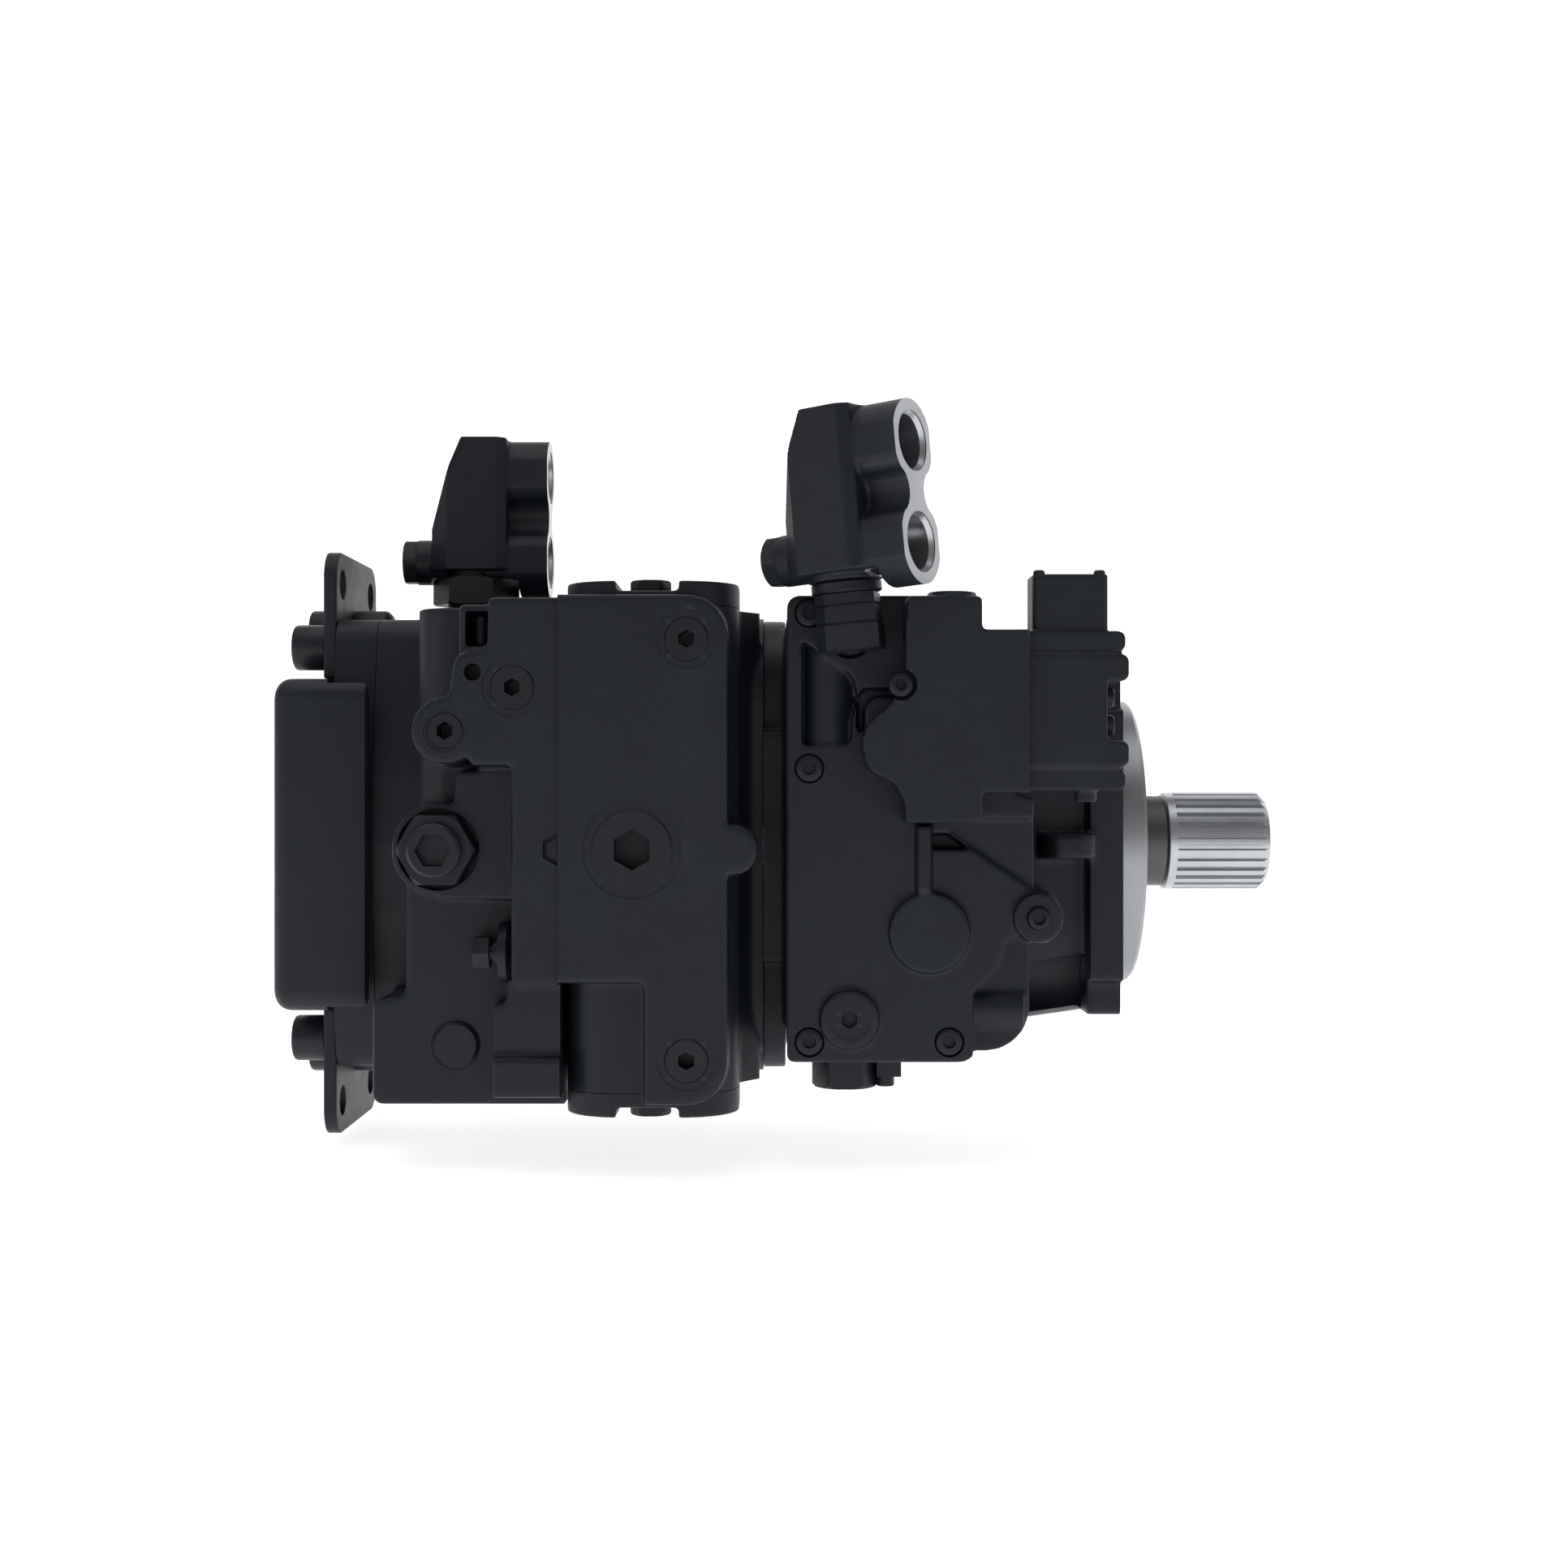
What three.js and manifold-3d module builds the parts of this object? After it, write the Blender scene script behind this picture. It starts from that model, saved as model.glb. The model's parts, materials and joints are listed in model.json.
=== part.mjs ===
// Axial piston pump for a closed circuit: a variable swashplate unit with a charge pump behind it,
// an electric displacement control on its near side and two swivelling twin-port blocks on top.
// Millimetres. +X runs along the shaft to its driven end, +Z is up, and -Y is the control side.
// The origin is where the shaft's axis meets the front face of the mounting flange.
import * as THREE from "three";
import { mergeVertices } from "three/addons/utils/BufferGeometryUtils.js";
import Module from "manifold-3d";

const wasm = await Module();
wasm.setup();

// ---------- driving dimensions ----------
const GAP = 0.3; // left between pieces that touch
const DEG = Math.PI / 180;

const PILOT_R = 63.5; // 127 mm pilot of a C size flange
const PILOT_LENGTH = 12.7;
const FLANGE_THICK = 14.3;
const FLANGE_HOLE = 57.25; // bolt holes at plus and minus this in Y and Z
const FLANGE_HOLE_R = 8.75;

const SHAFT_R = 22; // 44 mm spline
const SPLINE_TEETH = 27;
const SPLINE_ROOT_R = 20.3;
const SPLINE_FROM = 24;
const SHAFT_END = 75;

const FRONT_SEAM = -152; // front housing to main housing
const REAR_SEAM = -232.6; // main housing to end cap
const CHARGE_SEAM = -320; // end cap to charge pump housing
const REAR_FACE = -338; // charge pump housing to rear cover
const COVER_REAR = -361;
const CASE_HALF_Z = 97;
const CASE_HALF_Y = 92;

const PIVOT_X = -130; // swashplate axis, parallel to Y
const CRADLE_R = 46;
const PISTON_COUNT = 9;
const PISTON_R = 10.5;
const PITCH_R = 42; // radius of the circle of pistons
const BLOCK_R = 60;
const BLOCK_REAR = -228;
const BLOCK_FRONT = -168;
const PISTON_REAR = -206;
const PISTON_FRONT = -174.5;
const SWASH_FACE = -138;

const SERVO_X = -197.4; // servo piston's axis, parallel to Z
const SERVO_Y = -108;
const SERVO_R = 17;
const SERVO_TOP = 106.8;

const CHARGE_LOBES = 6; // on the inner rotor; the ring has one more
const CHARGE_OFFSET = 2.2; // between the two rotors' axes
const CHARGE_RING_R = 32;

const PORT_PITCH = 39.5; // between the two ports of a block
const PORT_R = 12;
const FRONT_FITTING = [-116.7, -132, 84];
const STUB_RISE = 1.9; // of the elbow's stub above the swivel's origin
const FRONT_LEAN = -5 * DEG;
const FRONT_TURN = -30 * DEG;
const REAR_FITTING = [-286, 15, 105];

const ARM_ROOM_Y = [-88, -50]; // space for the swashplate's arm beside the cylinder block
const ARM_ROOM_Z = [-36, 36];
const BEARING_R = 36;
const SEAL_BORE_R = 33;

const COVER_FACE = -118; // control cover's near face
const PAD_FACE = -100; // the pad on the front housing that it rests on
const COVER_SCREWS = [[-133, 94.8], [-133, 32.2], [-133, -78.1], [-76.6, -78.1], [-41, -28]];
const SCREW_HEAD_R = 5.6;
const BUTTON_R = 4.2; // manual override buttons in the solenoid block
const BUTTON_Y = -120.5;
const BUTTONS_Z = [60.5, 49.5];
const BRACKET_SCREW_Z = 86; // the outer four
const BRACKET_MIDDLE_Z = 95; // the middle two
const BRACKET_SCREWS = [
  [-34, BRACKET_SCREW_Z], [34, BRACKET_SCREW_Z], [-34, -BRACKET_SCREW_Z], [34, -BRACKET_SCREW_Z],
  [0, BRACKET_MIDDLE_Z], [0, -BRACKET_MIDDLE_Z],
];

// ---------- materials ----------
const finish = (color, roughness, metalness) =>
  new THREE.MeshStandardMaterial({ color, roughness, metalness });
const blackPaint = finish(0x25292f, 0.5, 0.1);
const blackSteel = finish(0x202329, 0.42, 0.4);
const brightSteel = finish(0xb9bdc2, 0.3, 0.9);
const bronze = finish(0xb08a4a, 0.4, 0.8);
const blackRubber = finish(0x141414, 0.8, 0);
const blackPlastic = finish(0x1d2126, 0.55, 0);

// ---------- shapes ----------
function solid(geometry) {
  const bare = geometry.clone();
  bare.deleteAttribute("normal");
  bare.deleteAttribute("uv");
  const merged = mergeVertices(bare, 1e-4);
  const vertProperties = new Float32Array(merged.attributes.position.array);
  const triVerts = new Uint32Array(merged.index.array);
  return new wasm.Manifold(new wasm.Mesh({ numProp: 3, vertProperties, triVerts }));
}

function toGeometry(shape) {
  const mesh = shape.getMesh();
  const geometry = new THREE.BufferGeometry();
  geometry.setAttribute("position", new THREE.BufferAttribute(mesh.vertProperties, 3));
  geometry.setIndex(new THREE.BufferAttribute(mesh.triVerts, 1));
  const flat = geometry.toNonIndexed();
  flat.computeVertexNormals();
  return flat;
}

const join = (...shapes) => shapes.reduce((whole, next) => whole.add(next));
const cut = (whole, ...tools) => tools.reduce((rest, tool) => rest.subtract(tool), whole);

// Local Z becomes the named axis. Outlines are drawn in (Y, Z) for x, (X, Z) for y and (X, Y) for z.
const AXIS_TURN = {
  x: new THREE.Matrix4().set(0, 0, 1, 0, 1, 0, 0, 0, 0, 1, 0, 0, 0, 0, 0, 1),
  y: new THREE.Matrix4().set(1, 0, 0, 0, 0, 0, -1, 0, 0, 1, 0, 0, 0, 0, 0, 1),
  z: new THREE.Matrix4(),
};

function alongAxis(axis, geometry, from, to) {
  geometry.translate(0, 0, axis === "y" ? -to : from);
  return geometry.applyMatrix4(AXIS_TURN[axis]);
}

function block([x0, x1], [y0, y1], [z0, z1]) {
  const box = new THREE.BoxGeometry(x1 - x0, y1 - y0, z1 - z0);
  box.translate((x0 + x1) / 2, (y0 + y1) / 2, (z0 + z1) / 2);
  return solid(box);
}

// A closed outline. A corner is [u, v] or [u, v, radius].
function outline(corners) {
  const shape = new THREE.Shape();
  const point = (i) => new THREE.Vector2(...corners.at(i % corners.length).slice(0, 2));
  corners.forEach(([u, v, radius = 0], i) => {
    const here = new THREE.Vector2(u, v);
    const back = point(i - 1).sub(here).setLength(radius).add(here);
    const onward = point(i + 1).sub(here).setLength(radius).add(here);
    if (i === 0) shape.moveTo(back.x, back.y);
    else shape.lineTo(back.x, back.y);
    if (radius) shape.quadraticCurveTo(u, v, onward.x, onward.y);
  });
  shape.closePath();
  return shape;
}

function roundedRect([u0, u1], [v0, v1], r) {
  return outline([[u0, v0, r], [u1, v0, r], [u1, v1, r], [u0, v1, r]]);
}

function prism(axis, shape, from, to, curveSegments = 3) {
  const settings = { depth: to - from, bevelEnabled: false, curveSegments };
  return solid(alongAxis(axis, new THREE.ExtrudeGeometry(shape, settings), from, to));
}

// A prism along X whose outline is scaled by (sy, sz) at its far end.
function taperedPrism(shape, from, to, [sy, sz]) {
  const depth = to - from;
  const settings = { depth, bevelEnabled: false, curveSegments: 4 };
  const geometry = new THREE.ExtrudeGeometry(shape, settings);
  const place = geometry.attributes.position;
  for (let i = 0; i < place.count; i += 1) {
    if (place.getZ(i) > depth / 2) {
      place.setX(i, place.getX(i) * sy);
      place.setY(i, place.getY(i) * sz);
    }
  }
  return solid(alongAxis("x", geometry, from, to));
}

// A rod along an axis; at gives its two other coordinates in X, Y, Z order.
function rod(axis, radius, from, to, at = [0, 0], sides = 24, turn = 0) {
  const shape = new THREE.CylinderGeometry(radius, radius, to - from, sides);
  shape.rotateY(turn).rotateX(Math.PI / 2);
  shape.translate(at[0], at[1], (to - from) / 2);
  return solid(alongAxis(axis, shape, from, to));
}

const hexagon = (axis, acrossFlats, from, to, at, turn = 0) =>
  rod(axis, acrossFlats / Math.sqrt(3), from, to, at, 6, turn);

// A turned solid. The profile is [radius, distance along the axis] and starts and ends on the axis.
// On the y axis the distance runs towards -Y, out of the control side.
function turned(axis, profile, at = [0, 0], sides = 32) {
  const points = profile.map(([r, along]) => new THREE.Vector2(r, along));
  const shape = new THREE.LatheGeometry(points, sides);
  shape.rotateX(Math.PI / 2);
  shape.translate(at[0], at[1], 0);
  return solid(alongAxis(axis, shape, 0, 0));
}

function disc(axis, radius, chamfer, from, to, at, sides = 24) {
  return turned(axis, [
    [0, from],
    [radius, from],
    [radius, to - chamfer],
    [radius - chamfer, to],
    [0, to],
  ], at, sides);
}

const mirrorZ = (shape) => shape.mirror([0, 0, 1]);

// ---------- the model ----------
const pump = new THREE.Group();

function piece(name, shape, material, parent = pump) {
  const mesh = new THREE.Mesh(toGeometry(shape), material);
  mesh.name = name;
  parent.add(mesh);
  return mesh;
}

// ---------- front housing, with the mounting flange and pilot ----------
function flangeOutline() {
  const [side, tall, notchY, notchZ] = [76, 72.5, 68, 57.3];
  const quarter = [[side, notchZ, 1.5], [notchY, notchZ + 1, 1.5], [notchY, tall, 3]];
  const flip = (sy, sz) => quarter.map(([y, z, r]) => [sy * y, sz * z, r]);
  return outline([
    ...flip(1, 1),
    ...flip(-1, 1).reverse(),
    ...flip(-1, -1),
    ...flip(1, -1).reverse(),
  ]);
}

function flangeBolts(shape) {
  let drilled = shape;
  for (const y of [-FLANGE_HOLE, FLANGE_HOLE]) {
    for (const z of [-FLANGE_HOLE, FLANGE_HOLE]) {
      const hole = rod("x", FLANGE_HOLE_R, -30, 1, [y, z], 12);
      const headRoom = rod("x", 16, -52, -FLANGE_THICK, [y * 1.06, z * 1.06], 12);
      drilled = cut(drilled, hole, headRoom);
    }
  }
  return drilled;
}

function frontHousing() {
  const whole = join(
    prism("x", flangeOutline(), -FLANGE_THICK, 0),
    disc("x", PILOT_R, 1.5, -1, PILOT_LENGTH, [0, 0], 40),
    taperedPrism(roundedRect([-80, 80], [-80, 80], 44), -62, -FLANGE_THICK + 1, [0.86, 0.92]),
    prism("x", roundedRect([-84, 84], [-86, 86], 44), -143, -60),
    prism("x", roundedRect([-84, 84], [-96, 96], 30), FRONT_SEAM + GAP, -142.5),
    prism("y", roundedRect([-142.5, -47], [-80, 84], 8), PAD_FACE, -70),
    prism("y", roundedRect([-142.5, -124], [70, 99], 8), PAD_FACE, -70),
    prism("y", roundedRect([FRONT_SEAM + GAP, -140], [-48, 48], 3), -94, -80),
    prism("y", roundedRect([-51, -31], [-38, -18], 9), PAD_FACE, -60),
    prism("z", roundedRect([-35, -13], [-93, -62], 4), -5.2, 5.2),
    rod("z", 19, 60, 97, [-100, 30], 16),
  );
  const hollow = cut(
    whole,
    rod("x", 70, FRONT_SEAM - 1, -96, [0, 0], 24),
    rod("y", CRADLE_R + 3.7, -52, 52, [PIVOT_X, 0], 32),
    block([FRONT_SEAM - 1, -96], ARM_ROOM_Y, ARM_ROOM_Z),
    rod("x", BEARING_R + GAP, -97, -37, [0, 0], 20),
    rod("x", 24, -40, 20, [0, 0], 16),
    rod("x", SEAL_BORE_R, -8, 20, [0, 0], 20),
    rod("z", 10, 82, 100, [-100, 30], 12),
  );
  const screwHoles = COVER_SCREWS.map((at) => rod("y", 3.6, -101, -82, at, 8));
  return cut(flangeBolts(hollow), ...screwHoles);
}

// ---------- main housing, with the servo cylinder on its near side ----------
const servoPlan = () => outline([
  [-231.2, -84], [-231.2, -130, 22], [-163.5, -130, 22], [-163.5, -98], [-153, -86], [-153, -84],
]);

function mainHousing() {
  const x0 = REAR_SEAM + GAP;
  const facePlate = outline([
    [x0, 100.6], [-165.5, 100.6, 16], [-165.5, 9.9], [-153.8, 9.9, 9], [-153.8, -9.9, 9],
    [-165.5, -9.9], [-165.5, -100.6, 16], [-198.4, -100.6], [-198.4, -52.6], [x0, -52.6],
  ]);
  const whole = join(
    prism("x", roundedRect([-CASE_HALF_Y, CASE_HALF_Y], [-CASE_HALF_Z, CASE_HALF_Z], 36), x0, FRONT_SEAM),
    prism("z", servoPlan(), -97, 97, 6),
    prism("y", facePlate, -139, -112),
    prism("y", roundedRect([-222, -166], [-40, 40], 12), 80, 104),
    rod("z", 18, 60, 104, [-192, 20], 20),
  );
  return cut(
    whole,
    rod("x", 68, x0 - 1, FRONT_SEAM + 1, [0, 0], 24),
    block([-216, FRONT_SEAM + 1], ARM_ROOM_Y, ARM_ROOM_Z),
    rod("z", SERVO_R + 0.4, -98, 98, [SERVO_X, SERVO_Y], 16),
    block([-214, -181], [-100, -86], [-30, 30]),
    rod("y", 12.8, -140, -130, [-203, 0], 20),
    block([-232, -150], [-130 - GAP, -80], [97, 110]),
    block([-232, -150], [-130 - GAP, -80], [-110, -97]),
    rod("z", 10, 90, 105, [-192, 20], 16),
  );
}

function servoCap() {
  const plan = prism("z", servoPlan(), 97 + GAP, SERVO_TOP, 6);
  const near = block([-232, -162], [-131, -90.3], [90, 110]);
  const slot = block([-210, -185], [-140, -80], [SERVO_TOP - 4, 110]);
  return cut(plan.intersect(near), slot, rod("z", 5.4, 90, 110, [SERVO_X, SERVO_Y], 12));
}

function limiterScrew() {
  return join(
    rod("z", 5, 90, 104, [SERVO_X, SERVO_Y], 12),
    hexagon("z", 14.6, 103.1, SERVO_TOP + 1.6, [SERVO_X, SERVO_Y]),
  );
}

function mainPlug() {
  const body = join(
    rod("y", 12.4, -139.8, -130 - GAP, [-203, 0], 16),
    disc("y", 15.8, 1, 0, 1.6, [-203, 0]).translate(0, -139.3, 0),
  );
  return cut(body, hexagon("y", 14, -150, -132, [-203, 0]));
}

// ---------- end cap, with the main ports on its far side ----------
const LOBE = [-276.9, 46.9];
const RELIEF = [-281.4, -0.3];
const MAIN_PORT_X = -262;
const MAIN_PORT_Z = 45;
const MAIN_PORT_R = 12.7;
const MAIN_PORT_BOLTS = [13.9, 28.6];

function endCapFront() {
  const x1 = REAR_SEAM;
  const plate = outline([
    [x1, 99.6], [-259.8, 99.6, 2], [-260.5, 79, 5], [-273, 78, 6], [-275.4, 60, 4], [-284, 58],
    [-266, 33.2], [-250.8, 33.2], [-250.8, -53.6, 2], [x1, -53.6],
  ]);
  const recessed = outline([
    [-250, 31.2], [-274.5, 31.2, 3], [-275, 17, 3], [-281, 17], [-281, -20], [-250, -20.4],
  ]);
  const lower = outline([
    [x1, -62], [-246, -62, 2], [-246, -56, 3], [-253, -56, 3], [-253, -62, 3], [-259.6, -62, 2],
    [-259.6, -99.4, 3], [x1, -99.4],
  ]);
  return join(
    prism("y", plate, -137, -100),
    rod("y", 13.2, -137, -100, LOBE, 20),
    prism("y", recessed, -125, -100),
    rod("y", 18.8, -125, -100, RELIEF, 24),
    prism("y", lower, -125, -100),
    block([-259.6, x1], [-128, -120], [-99.4, -83]),
  );
}

function mainPortHoles() {
  const [halfX, halfZ] = MAIN_PORT_BOLTS;
  const holes = [];
  for (const z of [-MAIN_PORT_Z, MAIN_PORT_Z]) {
    holes.push(rod("y", MAIN_PORT_R, 48, 100, [MAIN_PORT_X, z], 16));
    for (const dx of [-halfX, halfX]) {
      for (const dz of [-halfZ, halfZ]) {
        holes.push(rod("y", 5.2, 74, 100, [MAIN_PORT_X + dx, z + dz], 6));
      }
    }
  }
  return holes;
}

function endCap() {
  const x1 = REAR_SEAM;
  const [rx, ry, rz] = REAR_FITTING;
  const foot = outline([
    [-250, 0], [-297, 0, 4], [-297, -60, 4], [-310.6, -62, 3], [-310.6, -104.3, 4], [x1, -104.3], [x1, 0],
  ]);
  const whole = join(
    prism("x", barrelOutline(), CHARGE_SEAM + GAP, -290),
    prism("x", roundedRect([-94, 88], [-94, 97], 26), -283, x1),
    prism("y", roundedRect([-283, x1], [-60, 40], 6), -106, -80),
    prism("z", outline([[x1, -106], [-294.5, -106, 16], [-294.5, -60], [x1, -60]]), 16, 98),
    prism("y", foot, -110, 40),
    prism("y", roundedRect([-300, x1], [-88, 88], 10), 60, 95),
    prism("y", roundedRect([-272.4, -258], [60, 97.3], 2), -130, -100),
    rod("z", 25, -50, 98.4, [rx, ry], 24),
    endCapFront(),
  );
  return cut(
    whole,
    rod("x", 16, CHARGE_SEAM - 1, x1 + 1, [0, 0], 16),
    rod("x", 26 + GAP, -262, x1 + 1, [0, 0], 20),
    prism("y", roundedRect([-269.8, -260], [80.5, 94.7], 1.5), -140, -112),
    rod("z", 9, rz - 12, rz + 1, [rx, ry], 16),
    rod("y", 16.5, -126, -118, RELIEF, 20),
    rod("y", 9, -120, -90, RELIEF, 20),
    rod("y", 3.4, -138, -126, [-266, 70], 12),
    ...mainPortHoles(),
  );
}

function reliefCartridge() {
  const body = join(
    rod("y", 8.6, -130, -92, RELIEF, 20),
    hexagon("y", 27.5, -133.5, -118 - GAP, RELIEF, 30 * DEG),
    disc("y", 10.7, 1.2, 0, 6, RELIEF).translate(0, -133, 0),
  );
  return cut(body, hexagon("y", 14.4, -150, -134.5, RELIEF, 0));
}

// ---------- charge pump housing, rear cover and lifting brackets ----------
function barrelOutline() {
  const [edge, bulge, tall] = [46, 85, 98];
  const shape = new THREE.Shape();
  shape.moveTo(-edge + 6, -tall);
  shape.lineTo(edge - 6, -tall);
  shape.quadraticCurveTo(edge, -tall, edge + 3, -tall + 8);
  shape.quadraticCurveTo(bulge, 0, edge + 3, tall - 8);
  shape.quadraticCurveTo(edge, tall, edge - 6, tall);
  shape.lineTo(-edge + 6, tall);
  shape.quadraticCurveTo(-edge, tall, -edge - 3, tall - 8);
  shape.quadraticCurveTo(-bulge, 0, -edge - 3, -tall + 8);
  shape.quadraticCurveTo(-edge, -tall, -edge + 6, -tall);
  return shape;
}

function chargePumpHousing() {
  const boss = disc("x", 10, 2, REAR_FACE + GAP, CHARGE_SEAM - 2, [0, BRACKET_MIDDLE_Z]);
  return cut(
    join(prism("x", barrelOutline(), REAR_FACE + GAP, CHARGE_SEAM, 5), boss, mirrorZ(boss)),
    rod("x", CHARGE_RING_R + 0.6, -334, CHARGE_SEAM + 1, [0, -CHARGE_OFFSET], 24),
    ...BRACKET_SCREWS.map((at) => rod("x", 6.4, REAR_FACE - 1, -324, at, 12)),
  );
}

function rearCover() {
  const shell = prism("x", roundedRect([-71, 71], [-71, 71], 9), COVER_REAR, -320);
  const barrelRoom = block([REAR_FACE, -300], [-67.6, 67.6], [-80, 80]);
  return cut(shell, barrelRoom, rod("x", 34, -352, -330, [0, 0], 28));
}

function liftingBracket() {
  const plate = outline([[-46, 72], [46, 72], [46, 128, 12], [-46, 128, 12]]);
  return cut(
    prism("x", plate, REAR_FACE - 6, REAR_FACE - GAP),
    ...[-32, 32].map((y) => rod("x", 6.5, -346, -336, [y, 114], 16)),
    ...BRACKET_SCREWS.filter(([, z]) => z > 0).map((at) => rod("x", 6.4, -346, -336, at, 12)),
  );
}

// A cap screw pointing along -Z, with the underside of its head at the origin.
function capScrew(headR, headHeight, shankR, length, key, sides = 12) {
  const body = join(
    disc("z", headR, headHeight * 0.12, 0, headHeight, [0, 0], sides),
    rod("z", shankR, -length, 1, [0, 0], 6),
  );
  return cut(body, hexagon("z", key, headHeight * 0.45, headHeight + 1));
}

function placeScrew(name, shape, position, facing) {
  const screw = piece(name, shape, blackSteel);
  screw.position.set(...position);
  screw.quaternion.setFromUnitVectors(new THREE.Vector3(0, 0, 1), new THREE.Vector3(...facing));
}

// ---------- electric displacement control ----------
function controlCover() {
  const face = outline([
    [-142, -86.3, 3], [-142, 101.8, 5], [-66, 101.8], [-66, 86], [-50, 86], [-50, 22.6], [-42.5, 20, 2],
    [-42.5, -16], [-31.1, -18, 9], [-31.1, -38, 9], [-43.5, -38.5], [-43.5, -82.5, 18],
    [-66, -82.5], [-68, -86.3, 5],
  ]);
  const pocket = outline([
    [-135.5, 41.5, 2], [-116, 41.5, 4], [-113, 56, 5], [-115.5, 70, 5], [-128, 78, 4], [-135.5, 84, 2],
  ]);
  const wing = outline([
    [-67.5, -90], [-67.5, -57, 3], [-58, -52, 8], [-51, -36, 4], [-46, -37], [-40, -37], [-40, -90],
  ]);
  const whole = join(
    cut(
      prism("y", face, COVER_FACE, PAD_FACE - GAP),
      prism("y", pocket, -130, -105),
      prism("y", wing, -130, -110),
      prism("y", outline([[-66, -1], [-40, -18], [-30, -14], [-30, 8], [-66, 8]]), -130, -114),
    ),
    rod("z", 8.6, 42, 84, [-124, -109.2], 16),
    disc("y", 16.1, 1, 0, 5, [-84.8, -34]).translate(0, COVER_FACE + 1, 0),
    disc("y", 11.8, 1, 0, 3.4, [-116.9, -68.9]).translate(0, COVER_FACE + 1, 0),
    prism("y", roundedRect([-90, -84], [-17, 9], 2.6), -123, COVER_FACE + 1),
    rod("y", 9.9, -121, -101, [-41, -28], 20),
  );
  return cut(
    whole,
    hexagon("y", 6, -130, -117, [-116.9, -68.9]),
    rod("y", 9.7, -130, -108, [FRONT_FITTING[0], FRONT_FITTING[2] + STUB_RISE], 16),
    ...COVER_SCREWS.slice(0, 4).map((at) => rod("y", SCREW_HEAD_R + 0.5, -130, -113, at, 16)),
    rod("y", SCREW_HEAD_R + 0.5, -130, -119, COVER_SCREWS[4], 16),
    ...COVER_SCREWS.map((at) => rod("y", 3.4, -130, -99, at, 10)),
  );
}

function controlHousing() {
  const face = outline([
    [-95.1, 99.9, 2], [-65.3, 99.9, 2], [-65.3, 86.7, 1], [-46.8, 86.7], [-46.8, 22.5], [-65.3, 22.5],
    [-65.3, 10.6, 2], [-95.7, 10.6, 2], [-95.7, 19, 3], [-100, 26.5, 3], [-111, 31, 6],
    [-113, 47, 6], [-104, 55, 4], [-95.5, 64, 3],
  ]);
  const whole = join(
    prism("y", face, -140, COVER_FACE - GAP),
    disc("z", 9.7, 1, 90, 102, [-76.6, -129.5]),
  );
  return cut(
    whole,
    rod("z", 6.6, 27, 83, [-80, -129], 20),
    rod("z", 2.5, 82, 103, [-80, -129], 12),
    rod("z", 2.5, 9, 28, [-80, -129], 12),
    rod("y", SCREW_HEAD_R + 0.7, -141, -132, [-97.2, 64.9], 18),
  );
}

// ---------- solenoid block and its upright connector socket ----------
function solenoidBlock() {
  const [y0, y1] = [-135, -106];
  const rounded = (x, z, r, inset = 0) =>
    prism("y", roundedRect(x, z, r), y0 + inset, y1 - inset);
  const whole = join(
    rounded([-46.5 + GAP, -8.2], [78.3, 86.4], 3, 1),
    rounded([-45, -9.5], [70, 82], 1, 2),
    rounded([-46.5 + GAP, -6.9], [66.6, 77.2], 3),
    rounded([-46.5 + GAP, -15.4], [34, 76], 2),
    rounded([-46.5 + GAP, -6.9], [32.8, 43], 3),
    rounded([-45, -9.5], [26, 35], 1, 2),
    rounded([-46.5 + GAP, -8.2], [23.4, 31.6], 3, 1),
    prism("z", roundedRect([-44.6, -14.6], [-132, -109], 3), 84, 109.2),
    ...[-42, -18].map((x) => disc("z", 2.3, 0.6, 108, 110.7, [x, -130], 12)),
    rod("z", 4.4, 18.8, 25, [-23.4, -129], 10),
  );
  const mouth = prism("z", roundedRect([-41.6, -18.2], [-127, -112], 2), 92, 112);
  const buttonHoles = BUTTONS_Z.map((z) => rod("x", BUTTON_R + 0.6, -20, -10, [BUTTON_Y, z], 12));
  return cut(whole, mouth, block([-36, -24], [-112.5, -104], [98, 112]), ...buttonHoles);
}

function overrideButton(name, z) {
  const button = disc("x", BUTTON_R, 0.8, 0, 6.6, [0, 0], 12);
  piece(name, button, blackPlastic).position.set(-17.4, BUTTON_Y, z);
}

// ---------- twin-port block, drawn at its swivel with its ports facing +X ----------
const BLOCK_Z = 9; // body's underside above the lower boss's lowest point
const LOWER_PORT_Z = 17.5;
const REAR_BLOCK_Z = 6; // rear block above its swivel's origin
const REAR_BLOCK_UNDER = 13;
const NUT_ROOM_TOP = 10;
const NUT_AF = 34.6;
const COLLAR_R = 12.7;
const FRONT_BLOCK_Z = 16;

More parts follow.
